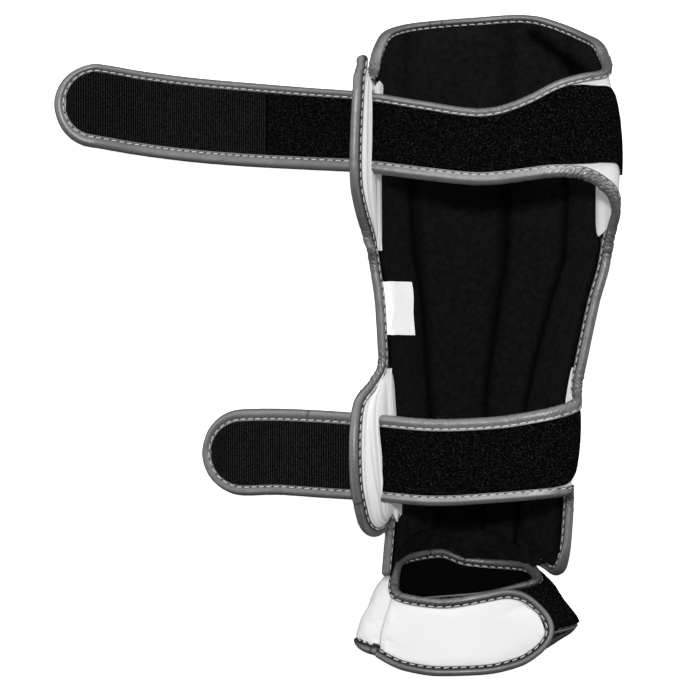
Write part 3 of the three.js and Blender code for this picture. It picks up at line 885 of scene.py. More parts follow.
@finish("loop_pile")
def nylon_loop_pile(tree, colour):
    """Napped nylon loop tape: black, with single loops of a millimetre standing out of the pile, their glints
    painted into the colour.
    """
    loops = add_node(tree, "TexNoise", {
        "Vector": add_node(tree, "TexCoord").outputs["Object"], "Scale": 1 / sizes().pile_tuft,
        "Detail": 3, "Roughness": 0.7,
    }).outputs["Fac"]
    # Painted highlights: the brightest specks stand for light glinting on single loops
    painted_glints = add_node(tree, "MapRange", {"Value": loops, "From Min": 0.45, "From Max": 0.74})
    sparse = add_node(tree, "Math", {0: painted_glints.outputs["Result"], 1: 2.2}, operation="POWER")
    tone = add_node(tree, "Mix", {
        0: sparse.outputs["Value"], 6: shade(colour, 0.6), 7: shade(colour, 24),
    }, data_type="RGBA")
    bump = add_node(tree, "Bump", {"Height": loops, "Strength": 0.7, "Distance": 0.0008})
    return {
        "Base Color": tone.outputs[2],
        "Roughness": 0.8,
        "Specular IOR Level": 0.0,
        "Normal": bump.outputs["Normal"],
    }


@finish("hook_tape")
def woven_hook_tape(tree, colour):
    """Woven nylon hook tape: black ribs across the strap, each topped with a row of tiny hooks whose shine is
    painted into the colour.
    """
    unrolled = add_node(tree, "TexCoord").outputs["UV"]
    rows = add_node(tree, "TexWave", {
        "Vector": unrolled, "Scale": ONE_BAND / sizes().hook_pitch, "Distortion": 0.3, "Detail": 1,
    }, bands_direction="X")
    hooks = add_node(tree, "TexNoise", {"Vector": unrolled, "Scale": 1 / 0.0012, "Detail": 3})
    both = add_node(tree, "Math", {
        0: rows.outputs["Fac"], 1: hooks.outputs["Fac"],
    }, operation="MULTIPLY").outputs["Value"]
    # Painted highlights: the bright hooks stand for light glinting on them
    painted_glints = add_node(tree, "MapRange", {"Value": both, "From Min": 0.3, "From Max": 0.62})
    tone = add_node(tree, "Mix", {
        0: painted_glints.outputs["Result"], 6: shade(colour, 0.8), 7: shade(colour, 13),
    }, data_type="RGBA")
    bump = add_node(tree, "Bump", {"Height": both, "Strength": 0.5, "Distance": 0.0004})
    return {
        "Base Color": tone.outputs[2],
        "Roughness": 0.7,
        "Specular IOR Level": 0.01,
        "Normal": bump.outputs["Normal"],
    }


@finish("label_cloth")
def woven_label_cloth(tree, colour):
    """Slit-edge satin label: tightly woven, slightly shiny, and made extra white by a painted glow."""
    unrolled = add_node(tree, "TexCoord").outputs["UV"]
    # Threads 0.5 mm apart, twice the real spacing so that the weave shows
    thread = {"Vector": unrolled, "Scale": ONE_BAND / 0.0005}
    warp, weft = (add_node(tree, "TexWave", thread, bands_direction=way).outputs["Fac"] for way in "XY")
    weave = add_node(tree, "Math", {0: warp, 1: weft}, operation="MULTIPLY").outputs["Value"]
    tone = add_node(tree, "Mix", {0: weave, 6: shade(colour, 0.9), 7: shade(colour, 1)}, data_type="RGBA")
    bump = add_node(tree, "Bump", {"Height": weave, "Strength": 0.3, "Distance": 0.0001})
    return {
        "Base Color": tone.outputs[2],
        "Roughness": 0.55,
        # A painted glow: the label gives off light so that it looks whiter
        "Emission Color": (1, 1, 1, 1),
        "Emission Strength": 0.33,
        "Normal": bump.outputs["Normal"],
    }


@finish("thread")
def polyester_thread(tree, colour):
    """Twisted polyester sewing thread: pale grey, with plies that break up its highlight."""
    place = add_node(tree, "TexCoord").outputs["Object"]
    plies = add_node(tree, "TexNoise", {"Vector": place, "Scale": 1 / 0.001, "Detail": 2})
    tone = add_node(tree, "Mix", {
        0: plies.outputs["Fac"], 6: shade(colour, 0.75), 7: shade(colour, 1.1),
    }, data_type="RGBA")
    return {"Base Color": tone.outputs[2], "Roughness": 0.5}


@finish("needle_hole")
def needle_hole(tree, colour):
    """The shadow in a needle hole: black, with nothing to reflect."""
    return {"Base Color": shade(colour, 1), "Roughness": 1.0, "Specular IOR Level": 0.0}


@finish("floor")
def studio_floor(tree, colour):
    """White seamless paper, lit until it burns out."""
    return {
        "Base Color": shade(colour, 1),
        "Roughness": 0.9,
        "Specular IOR Level": 0.0,
        "Emission Color": (1, 1, 1, 1),
        "Emission Strength": 0.85,
    }


# Edge binding and stitches

# The columns of a station on a cloth edge
PLACE = slice(0, 3)
UP = slice(3, 6)
UP_Z = 5
THICK = slice(6, 7)
WIDE = slice(7, 8)
GROOVE = slice(8, 9)


def run(surface, u, v, lift, thick, groove, side=1, wide=1.0):
    """Stations on a cloth edge: where it is, where its upper face looks, and its binding.

    The binding's part is how thick it is, how wide beside its section, and how dark its groove.
    """
    parts = (np.asarray(part, float) for part in (u, v, thick, wide, groove))
    u, v, *binding = np.broadcast_arrays(*parts)
    up = normal_of(surface, u, v)
    return np.column_stack([surface(u, v) + up * lift, side * up, *binding])


def evenly(stations, step, start=0.0, end=0.0):
    """The same stations at even steps, cut short by so many mm at either end."""
    gone = np.append(0, np.linalg.norm(np.diff(stations[:, PLACE], axis=0), axis=1).cumsum())
    count = max(4, round((gone[-1] - start - end) / step) + 1)
    places = np.linspace(start, gone[-1] - end, count)
    return np.column_stack([np.interp(places, gone, column) for column in stations.T])


def sewn_path(*runs):
    """One smooth path through runs, each given as (stations, mm cut at its start, mm cut at its end)."""
    cut = [evenly(stations, 1, start, end) for stations, start, end in runs]
    parts = [cut[0]]
    for after in cut[1:]:
        before = parts[-1]
        gap = np.linalg.norm(after[0, PLACE] - before[-1, PLACE])
        leave = unit(before[-1, PLACE] - before[-4, PLACE]) * gap
        meet = unit(after[3, PLACE] - after[0, PLACE]) * gap
        share = np.linspace(0, 1, max(6, int(gap)))[1:-1, None]
        bridge = hermite(before[-1, PLACE], leave, after[0, PLACE], meet, share)
        rest = lerp(before[-1, 3:], after[0, 3:], smoothstep(share, 0, 1))
        parts += [np.column_stack([bridge, rest]), after]
    path = evenly(np.concatenate(parts), PATH_STEP)
    weights = np.array([1, 4, 6, 4, 1]) / 16
    for _ in range(3):
        padded = np.concatenate([path[:1], path[:1], path, path[-1:], path[-1:]])
        path[1:-1] = sum(w * padded[k:k + len(path)] for k, w in enumerate(weights))[1:-1]
    return evenly(path, PATH_STEP)


def frames_of(path):
    """The directions ahead, up from the cloth and out past its edge at each station."""
    ahead = unit(np.gradient(path[:, PLACE], axis=0))
    up = path[:, UP]
    up = unit(up - (up * ahead).sum(1, keepdims=True) * ahead)
    return ahead, up, np.cross(ahead, up)


EDGES = {}


def edge_paths():
    """The bound edges, each in one piece as it is sewn, made once."""
    if EDGES:
        return EDGES
    fine = np.linspace(0, 1, 400)
    back = fine[::-1]

    def rim_edge(side, y_from, y_to, lean, thick, wide):
        rim = rim_stretch(side, min(y_from, y_to), max(y_from, y_to))
        along = fine if y_from < y_to else back
        stations = run(rim, 0.5 + 0 * fine, along, RIM_LIFT, thick, GROOVE_RIM, 1, wide)
        stations[:, UP_Z] += lean
        return stations

    def wing_edge(surface, us, vs, flat=0.0):
        """A wing's edge, whose binding is turned to lie flat by a share from 0 to 1."""
        wide = lerp(WING_WIDE, WING_FLAT_WIDE, flat)
        stations = run(surface, us, vs, 0, BINDING_WING, GROOVE_WING, 1, wide)
        flat = np.broadcast_to(flat, len(fine))[:, None]
        stations[:, UP] = unit(lerp(stations[:, UP], (0, 0, 1), flat))
        return stations

    def strap_edge(surface, us, v, wide):
        """A strap's edge, whose binding is as wide at the tip on both sides."""
        wide = lerp(wide, 1.1, smoothstep(us, 0.8, 1))
        groove = GROOVE_STRAP * smoothstep(us, 0.35, 0.6)
        return run(surface, us, v, TAPE / 2, BINDING_STRAP, groove, -1, wide)

    def rim_tip():
        """The tucked end of the top rim's binding, in front of the left wing."""
        stations = rim_edge(-1, 190, 183, lean=0, thick=BINDING_PAD, wide=0.8)
        stations[:, 0] -= 3 * fine
        stations[:, 2] += 14 * fine ** 1.5
        stations[:, THICK] = lerp(BINDING_PAD, 5, fine)[:, None]
        stations[:, WIDE] = lerp(0.8, 0.65, fine)[:, None]
        return stations

    def wing_horn():
        """The top end of the left wing's binding, which stands past the corner of the wing."""
        stations = wing_edge(left_upper, 1, 1 + 0 * fine, 1)
        stations[:, PLACE] += np.outer(back, (0.4, 10, -2.5))
        return stations

    # The toe's binding is wide at its left joint, and runs out thin under the foot's right side
    toe_end = smoothstep(fine, 0.6, 0.82)
    toe_wide = lerp(1.25, 1, smoothstep(fine, 0.02, 0.16)) * lerp(1, 0.45, toe_end)
    toe_thick = BINDING_INSTEP * lerp(1, 0.6, toe_end)
    # The ring's binding runs out thin where it dives under the instep strap
    dive = smoothstep(back, 0.72, 0.88)
    ring_wide = lerp(0.95, 0.3, dive)
    ring_thick = BINDING_INSTEP * lerp(1, 0.5, dive)

    EDGES["right_edge_fold"] = sewn_path(
        (run(trough, lerp(0.8, 1, fine), 0, RIM_LIFT, BINDING_PAD, GROOVE_RIM), 0, 9),
        (rim_edge(1, -140, -103, lean=0.6, thick=5.6, wide=1), 5, 4),
        (strap_edge(lower_ribbon, lerp(0.012, 1, fine), 1, wide=1.0), 6, 0),
        (strap_edge(lower_ribbon, lerp(1, 0.03, fine), 0, wide=1.2), 0, 6),
        (rim_edge(1, -26, 66, lean=RIM_LEAN, thick=6.2, wide=1.15), 4, 6),
        (strap_edge(upper_ribbon, lerp(0.012, 1, fine), 1, wide=1.25), 8, 0),
        (strap_edge(upper_ribbon, lerp(1, 0.03, fine), 0, wide=0.8), 0, 34),
        (run(trough, back, 1, RIM_LIFT, BINDING_PAD, GROOVE_RIM, 1, wide=0.8), 5, 5),
        (rim_tip(), 0, 0),
    )
    EDGES["left_edge_fold"] = sewn_path(
        (wing_horn(), 0, 1),
        (wing_edge(left_upper, back, 1, flat=smoothstep(back, 0.7, 0.95)), 1, 4),
        (rim_edge(-1, 60, -12, lean=RIM_LEAN, thick=5.8, wide=lerp(1, 0.85, fine)), 2, 4),
        (wing_edge(left_lower, lerp(16 / 18, 0, fine), 1, flat=0.6 * smoothstep(back, 0.6, 0.95)), 4, 1),
        (wing_edge(left_lower, 0, lerp(1, 0.45, fine)), 1, 0),
        (rim_edge(-1, -127, -162, lean=0.4, thick=5.4, wide=0.8), 0, 0),
    )
    EDGES["instep_ring_fold"] = sewn_path(
        (run(instep, back, 0, INSTEP_LIFT, ring_thick, GROOVE_INSTEP, -1, ring_wide), 0, 8),
        (run(instep_strap, lerp(0.99, 0, fine), 0, INSTEP_STRAP_LIFT, BINDING_WING, GROOVE_INSTEP, -1),
         6, 0),
        (run(instep_strap, fine, 1, INSTEP_STRAP_LIFT, BINDING_WING, GROOVE_TOE, -1), 0, 0),
    )
    EDGES["instep_toe_fold"] = sewn_path(
        (run(instep, lerp(0, 0.74, fine), 1, INSTEP_LIFT, toe_thick, GROOVE_TOE, -1, toe_wide), 0, 0),
    )
    return EDGES


def both_faces(half):
    """A row of values for the section's upper half, mirrored to its lower half and closed."""
    return np.concatenate([half, half[..., -2::-1], half[..., :1]], -1)


def groove_depth(path):
    """How deep the stitches pull the binding in, from 0.3 on a flat strap to 1 on a wing."""
    return lerp(0.3, 1, np.clip(path[:, GROOVE] / GROOVE_WING, 0, 1))


def bind(name, path, seed):
    """A folded strip of leather swept along an edge, closed at its ends and puckered where it turns in."""
    ahead, up, out = frames_of(path)
    section = BINDING_SECTION
    rise = path[:, THICK] / 2 * section["rise"] + section["above"] * groove_depth(path)
    rise = np.concatenate([rise, -rise[:, -2::-1], rise[:, :1]], 1)
    reach = both_faces(section["out"] * path[:, WIDE])
    fold = both_faces(smoothstep(section["out"], 0.3, 2.5))
    # Puckers run across the fold, and grow where the edge turns inwards and the leather bunches up
    chance = np.random.default_rng(seed)
    bend = (np.gradient(ahead, axis=0) * out).sum(1) / PATH_STEP
    bunched = np.convolve(np.clip(bend * 25, 0, 1), np.ones(15) / 9, "same").clip(0, 1)
    strength = (0.1 + 0.9 * bunched)[:, None]
    place = np.arange(len(path)) * PATH_STEP
    around = np.linspace(0, 2 * math.pi, rise.shape[1])
    ripple = 0
    for length in PUCKER_LENGTHS:
        phase = chance.uniform(0, 2 * math.pi, 2)
        drift = np.cumsum(chance.normal(0, 0.18, len(path)))
        wave = (place / length * 2 * math.pi + phase[0] + drift)[:, None]
        ripple = ripple + np.sin(wave + np.sin(around + phase[1]) * 1.3) / len(PUCKER_LENGTHS)
    size = 1 + ripple * strength * fold * PUCKER_SIZE
    # Painted shade: the section's groove and edges, and the puckers' troughs, are darkened in the colour
    shadow = both_faces(section["shadow"] * path[:, GROOVE])
    shadow = shadow + strength * fold * np.clip(-ripple, 0, 1) * PUCKER_SHADE
    # The strip's ends are butted at a joint, and leave a groove that is darkened with painted shade
    for joint in JOINTS[name]:
        nearest = np.argmin(np.hypot(*(path[:, :2] - joint).T))
        groove = np.exp(-(((place - place[nearest]) / JOINT_WIDTH) ** 2))[:, None]
        size = size * (1 - JOINT_PINCH * groove * fold)
        shadow = shadow + JOINT_SHADE * groove * fold
    # Rounded ends: the section closes to a point over a few mm
    from_end = np.minimum(place, place[::-1])[:, None]
    end_round = INSTEP_END_ROUND if name.startswith("instep") else END_ROUND
    close = np.sqrt(np.clip(1 - (1 - np.clip(from_end / end_round, 0, 1)) ** 2, 0.02, 1))
    rise = rise * size * close
    reach = 2 + (reach - 2) * size * close
    rows = path[:, None, PLACE] + out[:, None] * reach[..., None] + up[:, None] * rise[..., None]
    piece = lay_rows(name, above_floor(rows))
    keep(piece, "shadow", np.clip(shadow, 0, 1))
    keep(piece, "bunched", strength * np.clip(fold + 0.3, 0, 1))
    edit(
        piece,
        (bpy.ops.mesh.remove_doubles, {"threshold": 0.00001}),
        (bpy.ops.mesh.fill_holes, {"sides": 0}),
        (bpy.ops.mesh.normals_make_consistent, {"inside": False}),
    )
    soften(piece, 60)
    return piece


def stitch_model():
    """One stitch, modelled once: a thread that dips into the leather at both ends. Metres, along x."""
    pick()
    bpy.ops.mesh.primitive_uv_sphere_add(
        segments=6, ring_count=6, radius=0.5, rotation=(0, math.pi / 2, 0),
    )
    stitch = bpy.context.object
    bpy.ops.object.transform_apply(rotation=True)
    points = points_of(stitch)
    share = 2 * points[:, 0]
    width = sizes().thread_width
    full = np.sqrt(np.clip(1 - share ** 6, 0.05, 1)) / np.sqrt(np.clip(1 - share ** 2, 0.05, 1))
    points[:, 0] *= sizes().stitch_length
    points[:, 1] *= width * full
    points[:, 2] *= width * 0.8 * full
    points[:, 2] -= width * 0.45 * share ** 2
    set_points(stitch, points)
    return stitch


def hole_model():
    """One needle hole: a shallow dark dimple."""
    pick()
    bpy.ops.mesh.primitive_uv_sphere_add(segments=6, ring_count=4, radius=0.5)
    hole = bpy.context.object
    points = points_of(hole)
    set_points(hole, points * np.array([0.9, 0.8, 0.3]) * MM)
    return hole


def copies(model, places, x_way, z_way):
    """The corners and faces of a small model copied to many places, each turned to its own directions."""
    points = points_of(model)
    y_way = np.cross(z_way, x_way)
    made = places[:, None] * MM
    made = made + x_way[:, None] * points[None, :, :1]
    made = made + y_way[:, None] * points[None, :, 1:2] + z_way[:, None] * points[None, :, 2:]
    faces = [np.array(face.vertices) for face in model.data.polygons]
    shifted = [(face + k * len(points)).tolist() for k in range(len(places)) for face in faces]
    return made.reshape(-1, 3), shifted


def sew(name, stitches, gaps):
    """A row of slanted stitches with needle holes between them.

    Each has its places, and the directions ahead, up and out there.
    """
    models = (stitch_model(), hole_model())
    places, ahead, up, out = stitches
    x_way = unit(ahead * math.cos(STITCH_SLANT) + out * math.sin(STITCH_SLANT))
    threads, thread_faces = copies(models[0], places, x_way, up)
    holes, hole_faces = copies(models[1], *gaps[:3])
    mesh = bpy.data.meshes.new(name)
    shifted = [[corner + len(threads) for corner in face] for face in hole_faces]
    mesh.from_pydata(np.concatenate([threads, holes]).tolist(), [], thread_faces + shifted)
    mesh.materials.append(polyester_thread())
    mesh.materials.append(needle_hole())
    slots = np.repeat([0, 1], [len(thread_faces), len(hole_faces)])
    mesh.polygons.foreach_set("material_index", slots)
    mesh.polygons.foreach_set("use_smooth", np.ones(len(slots), bool))
    piece = bpy.data.objects.new(name, mesh)
    bpy.context.scene.collection.objects.link(piece)
    for model in models:
        bpy.data.objects.remove(model)
    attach(piece, "root")


def clear_of_floor(group):
    """The copies of a group whose places aren't pressed on the floor."""
    return [part[group[0][:, 2] > 1.5] for part in group]


def sew_edge(name, path):
    """Stitches along both faces of a bound edge."""
    every = evenly(path, sizes().stitch_pitch / MM / 2, 4, 4)
    ahead, up, out = frames_of(every)
    seat = every[:, PLACE] + out * STITCH_OUT
    lift = up * (every[:, THICK] / 2 - STITCH_SUNK * groove_depth(every))
    faces = ((seat + lift, ahead, up, out), (seat - lift, ahead, -up, out))
    groups = []
    for first in (1, 0):
        every_other = ([part[first::2] for part in face] for face in faces)
        groups.append(clear_of_floor([np.concatenate(parts) for parts in zip(*every_other)]))
    sew(name, *groups)


# Pieces

def quilt_side(u, v):
    """The place across the trough of a column, with the sewn channels at even steps of u."""
    v = np.asarray(v, float)
    sewn = (look_up(SEAMS, "v", name, v) for name in ("left", "middle", "right"))
    seams = np.stack([0 * v - 1, *sewn, 0 * v + 1])
    channel = np.minimum((u * CHANNELS).astype(int), CHANNELS - 1)
    here = np.arange(len(v))
    return lerp(seams[channel, here], seams[channel + 1, here], u * CHANNELS - channel)


def quilt(u, v):
    side = quilt_side(u, v)
    return trough_point(side, lerp(shin_end(side, "ankle"), shin_end(side, "knee"), v))


def near_line(points, ends, width):
    """How near points lie to a line seen from above, from 0 to 1. All in mm."""
    along = ends[1] - ends[0]
    share = np.clip((points[:, :2] - ends[0]) @ along / (along @ along), 0, 1)
    apart = np.linalg.norm(points[:, :2] - ends[0] - share[:, None] * along, axis=1)
    return np.exp(-((apart / width) ** 2))


def foam(u, v):
    return -lerp(FOAM_SHIN, FOAM_RIM, quilt_side(u, v) ** 2)


def make_shin_pad():
    columns = np.linspace(0, 1, CHANNELS * CHANNEL_COLUMNS + 1)
    rows = np.linspace(0, 1, 91)
    u, v = flat_grid(columns, rows)
    column = np.tile(np.arange(len(columns)), len(rows))
    from_seam = np.minimum(column % CHANNEL_COLUMNS, -column % CHANNEL_COLUMNS)
    sewn = (from_seam == 0) | grid_border(columns, rows, sides=False)
    shell = lay_cloth("shin_cover", quilt, columns, rows, foam)
    edit(shell, (bpy.ops.mesh.flip_normals, {}))
    swell(shell, sewn, pressure=6, most=1.6)
    make_up(shell, SHELL, white_pu_leather(), "white_leather", "shin_shell")

    lining = lay_cloth("shin_quilt", quilt, columns, rows, LINING)
    side = quilt_side(u, v)
    y = points_of(lining)[:, 1] / MM
    for reach, low, high in HELD_BY_FACINGS:
        sewn |= (side * np.sign(reach) > abs(reach)) & (y > low) & (y < high)
    swell(lining, sewn, pressure=16, most=4.2, spare=0.02)
    folded = near_line(points_of(lining) / MM, CORNER_FOLD, CORNER_FOLD_WIDTH)
    push(lining, -CORNER_FOLD_DEPTH * folded)
    # Painted shade darkens the seams' valleys, less so towards the knee, and the corner fold
    seam_shade = np.interp(from_seam, (0, 1, 2), (0.85, 0.4, 0)) * lerp(1, 0.4, smoothstep(v, 0.7, 0.85))
    keep(lining, "shadow", np.clip(seam_shade + 0.95 * folded, 0, 1))
    make_up(lining, LINING_WALL, brushed_knit_lining(), "black_lining", "shin_lining")


def make_care_label():
    columns = np.linspace(0, 1, 25)
    rows = np.linspace(0, 1, 33)

    def surface(u, v):
        return trough_point(lerp(*LABEL_SIDES, u), lerp(*LABEL_Y, v))

    def lift(u, v):
        """Its sewn edge goes over the top of the lining and under the binding."""
        return lerp(-1.5, LINING + 6, smoothstep(u, 0.02, 0.2))

    label = lay_cloth("care_label_cloth", surface, columns, rows, lift)
    seat = label.modifiers.new("Seat", "SHRINKWRAP")
    seat.target = bpy.data.objects["shin_quilt"]
    seat.wrap_method = "NEAREST_SURFACEPOINT"
    seat.wrap_mode = "ABOVE_SURFACE"
    seat.offset = 0.6 * MM
    apply(label, seat)
    # It waves a little, and its free edge lifts
    u, v = flat_grid(columns, rows)
    push(label, (0.5 * np.sin(v * 7 + u * 2) + 0.5) * u + 1.2 * u ** 3)
    thicken(label, LABEL_WALL, 1)
    soften(label)
    hand_over(label, woven_label_cloth(), "label_cloth", "care_label")


def over_lining(rim, inset, y):
    """The lower layers of a facing, from its sewn edge an inset inside a rim up to that rim."""
    for share in (1, 0.66, 0.33, 0.04):
        side = side_inside(rim, inset * share, y)
        inward = trough_point(side + 0.01, y) - trough_point(side - 0.01, y)
        along = trough_point(side, y + 1) - trough_point(side, y - 1)
        yield trough_point(side, y) + unit(np.cross(inward, along)) * (LINING + FACING_LIFT)


def left_facing(wing, rows):
    """The white facing: from its sewn edge on the lining, over the rim and up the inside of a left wing."""
    def surface(u, v):
        base, inset = smooth_line(np.stack([rows["sewn"], rows["inset"]], -1), u).T
        # Its ends are rounded, and it lies closer to the wing where that is low
        ends = np.clip(np.minimum(u, 1 - u) * 12, 0, 1)
        inset = inset * np.sqrt(np.clip(1 - (1 - ends) ** 2, 0.1, 1))
        high = np.linalg.norm(wing(u, 1 + 0 * u) - wing(u, 0 * u), axis=1)
        full = np.clip(high / 25, 0, 1)[:, None]
        layers = list(over_lining(-1, inset, base))
        for up in (0.12, 0.25, 0.4, 0.6, 0.8, 0.98):
            flush, free = (off(wing, u, up, WING / 2 + lift) for lift in (0.3, 1.3))
            layers.append(lerp(flush, free, full * math.sin(math.pi * up)))
        return smooth_line(np.stack(layers), v)

    return surface


def right_facing(rows, surface, inset, low, high):
    """The white facing inside a right wing: from its sewn edge on the lining, over the rim and up it."""
    def shape(u, v):
        y = lerp(low, high, u)
        round_end = np.clip(np.minimum(u, 1 - u) * (high - low) / FACING_ROUND, 0, 1)
        depth = inset * np.sqrt(np.clip(1 - (1 - round_end) ** 2, 0.01, 1))
        layers = list(over_lining(1, depth, y))
        for row in (0.35, 0.7, 1.1, 1.6):
            place = np.full(len(u), along_ribbon(rows, row))
            top, bottom = (surface(place, np.full(len(u), edge))[:, 1] for edge in (0.0, 1.0))
            down = np.clip((top - y) / (top - bottom), 0, 1)
            layers.append(off(surface, place, down, -STRAP / 2 - FACING_LIFT))
        return smooth_line(np.stack(layers), v)

    return shape


def wrinkles(u, v, count, seed):
    """Fine creases that wander along u, as depths from 0 to 1."""
    chance = np.random.default_rng(seed)
    depth = 0 * u
    for _ in range(count):
        spot, sway, phase, pace = chance.uniform((0, 0.0, 0, 4), (1.0, 0.02, 6.3, 9))
        middle = lerp(0.97, 0.25, spot ** 1.5)
        width = chance.uniform(0.006, 0.016)
        fade = smoothstep(np.sin(u * pace * 0.7 + phase * 2), -0.6, 0.5)
        depth = depth + fade * np.exp(-(((v - middle - sway * np.sin(u * pace + phase)) / width) ** 2))
    return np.clip(depth, 0, 1)


def make_facing(name, shape, rows, creases, seed, sink, dark, flip=False):
    """A thin facing with fine creases, which are sunk by so many mm and darkened with painted shade by a
    share.
    """
    us = np.linspace(0, 1, 81)
    vs = np.linspace(0, 1, rows)
    u, v = flat_grid(us, vs)
    facing = lay_rows(name, shape(u, v).reshape(len(vs), len(us), 3))
    if flip:
        edit(facing, (bpy.ops.mesh.flip_normals, {}))
    creased = wrinkles(u, v, creases, seed)
    push(facing, -sink * creased)
    # Painted shade in the creases
    keep(facing, "shadow", dark * creased)
    thicken(facing, FACING, -1)
    return facing


def make_leaf(name, surface, us, vs, wall):
    """The leaf of a wing, with no creases."""
    leaf = lay_cloth(name, surface, us, vs)
    keep(leaf, "shadow", np.zeros(len(us) * len(vs)))
    thicken(leaf, wall, 0)
    return leaf


def slot_cutter(wing, strap):
    """A block where a strap's route crosses a wing, with its edges rounded."""
    places = np.linspace(0.3, 0.9, 600)
    line = off(strap, places, 0.5, TAPE / 2)
    u, v = flat_grid(np.linspace(0, 1, 60), np.linspace(0, 1, 60))
    apart = np.linalg.norm(line[:, None] - wing(u, v)[None], axis=-1)
    nearest, spot = np.unravel_index(np.argmin(apart), apart.shape)
    away = normal_of(wing, u[spot:spot + 1], v[spot:spot + 1])[0]
    edges = strap(places[[nearest, nearest]], np.array([0.0, 1.0]))
    length = edges[0, 1] - edges[1, 1] + SLOT_SPARE
    pick()
    bpy.ops.mesh.primitive_cube_add(size=1)
    cutter = bpy.context.object
    cutter.scale = (SLOT_DEPTH * MM, length * MM, SLOT_HEIGHT * MM)
    cutter.rotation_euler = (0, -math.atan2(away[2], away[0]), 0)
    cutter.location = Vector(line[nearest]) * MM
    bpy.ops.object.transform_apply(location=True, rotation=True, scale=True)
    rounding = cutter.modifiers.new("Round", "BEVEL")
    rounding.width = SLOT_ROUND * MM
    rounding.segments = 4
    apply(cutter, rounding)
    return cutter


def cut_slot(piece, cutter):
    slot = piece.modifiers.new("Slot", "BOOLEAN")
    slot.object = cutter
    slot.operation = "DIFFERENCE"
    slot.solver = "EXACT"
    apply(piece, slot)


def make_left_wing(name, rows, wing, strap, seed):
    leaf = make_leaf(name + "_leaf", wing, np.linspace(0, 1, 91), np.linspace(-0.25, 1, 41), WING)
    facing = make_facing(
        name + "_facing", left_facing(wing, rows), rows=121, creases=20, seed=seed, sink=0.5, dark=0.4,
    )
    cutter = slot_cutter(wing, strap)
    cut_slot(leaf, cutter)
    cut_slot(facing, cutter)
    bpy.data.objects.remove(cutter)
    join(leaf, facing)
    soften(leaf)
    hand_over(leaf, white_pu_leather(), "white_leather", name)


def lengths_along(surface):
    """Places along a strap, and how many mm of it lie before each."""
    places = np.linspace(0, 1, 800)
    line = surface(places, np.full(len(places), 0.5))
    return places, np.append(0, np.linalg.norm(np.diff(line, axis=0), axis=1).cumsum())


def even_steps(surface, start, end, step):
    """Places along a strap at even steps in mm."""
    places, lengths = lengths_along(surface)
    first, last = np.interp((start, end), places, lengths)
    return np.interp(np.linspace(first, last, round((last - first) / step) + 1), lengths, places)


def tape_band(rows, surface, limits, row_from, corner_top, corner_bottom):
    """The tape on a strap: over the wing it keeps its own band, and further on it fills the strap.

    Its start has round corners, and a corner with a negative radius runs out to the strap's edge.
    """
    top, bottom, fills_from, fills_to = limits
    places, lengths = lengths_along(surface)
    start = np.interp(along_ribbon(rows, row_from), places, lengths)
    radius_out = (rows["top"][-1] - rows["bottom"][-1]) / 2
    radius_in = radius_out - TAPE_INSET

    def band(u, v):
        above = surface(u, 0 * u)[..., 1]
        below = surface(u, 0 * u + 1)[..., 1]
        fill = smoothstep(u, along_ribbon(rows, fills_from), along_ribbon(rows, fills_to))
        width = above - below
        gone = np.interp(u, places, lengths) - start

        def inset(radius):
            near = np.clip(abs(radius) - gone, 0, abs(radius))
            return np.sign(radius) * (abs(radius) - np.sqrt(np.maximum(radius ** 2 - near ** 2, 0)))

        into_tip = np.clip(rows["x"][-1] - surface(u, 0 * u + 0.5)[..., 0], 0, radius_in - 0.4)
        round_inset = 1 - np.sqrt(radius_in ** 2 - into_tip ** 2) / np.sqrt(radius_out ** 2 - into_tip ** 2)
        lip = np.where(into_tip > 0, round_inset / 2, TAPE_INSET / width)
        first = np.clip((above - top + inset(corner_top)) / width, lip, 1)
        last = np.clip((above - bottom - inset(corner_bottom)) / width, 0, 1 - lip)
        return surface(u, lerp(lerp(first, lip, fill), lerp(last, 1 - lip, fill), v))

    return band


def fleece(rows, columns, seed):
    """Heights of a looped pile over a grid, from about -1 to 1."""
    chance = np.random.default_rng(seed)
    height = chance.normal(0, 1, (rows, columns))
    soft = height.copy()
    for axis in (0, 1):
        soft = (soft + np.roll(soft, 1, axis) * 0.6 + np.roll(soft, -1, axis) * 0.6) / 1.6
    edge = np.ones((rows, columns))
    edge[[0, -1]] = 0
    edge[:, [0, -1]] = 0
    return np.clip(soft * edge, -1.6, 2.2).ravel()


def make_tape(name, band, us, vs, seed, ribs=None):
    """A closed strip of tape whose upper face has real pile, or ribs that turn so far at each column."""
    tape = lay_cloth(name, band, us, vs, STRAP / 2 + 1.5 * GAP + TAPE)
    thicken(tape, TAPE, -1)
    if ribs is None:
        push(tape, PILE_HEIGHT * fleece(len(vs), len(us), seed))
    else:
        rib = np.abs(np.sin(np.tile(np.arange(len(us)) * ribs, len(vs))))
        hooks = np.random.default_rng(seed).uniform(0.4, 1, len(rib))
        push(tape, PILE_HEIGHT * rib * hooks - PILE_HEIGHT / 2)
    soften(tape, 80)
    return tape


def tuft_step():
    """How far apart in mm the points of a pile stand."""
    return sizes().pile_tuft / MM * 0.8


# Each strap's tape: its edges over the wing along y and the rows between which it comes to fill the strap,
# the rows where the wing ends, the hooks start and the tape starts, and the radius of its two first corners.
# Its wing's facing has an inset inside the rim and a span along y
STRAPS = {
    "upper": {
        "rows": UPPER_STRAP, "surface": upper_ribbon, "limits": (178.5, 126, 3.4, 5.4),
        "wing_end": 5.2, "hook_start": 11.65, "tape_from": 2.1, "corners": (15, -9),
        "facing_span": (1.8, 76, 187.5), "seed": 41,
    },
    "lower": {
        "rows": LOWER_STRAP, "surface": lower_ribbon, "limits": (-43, -96, 2.4, 3.6),
        "wing_end": 3.4, "hook_start": 7.1, "tape_from": 1.9, "corners": (3, 13),
        "facing_span": (3.4, -97, -16), "seed": 51,
    },
}


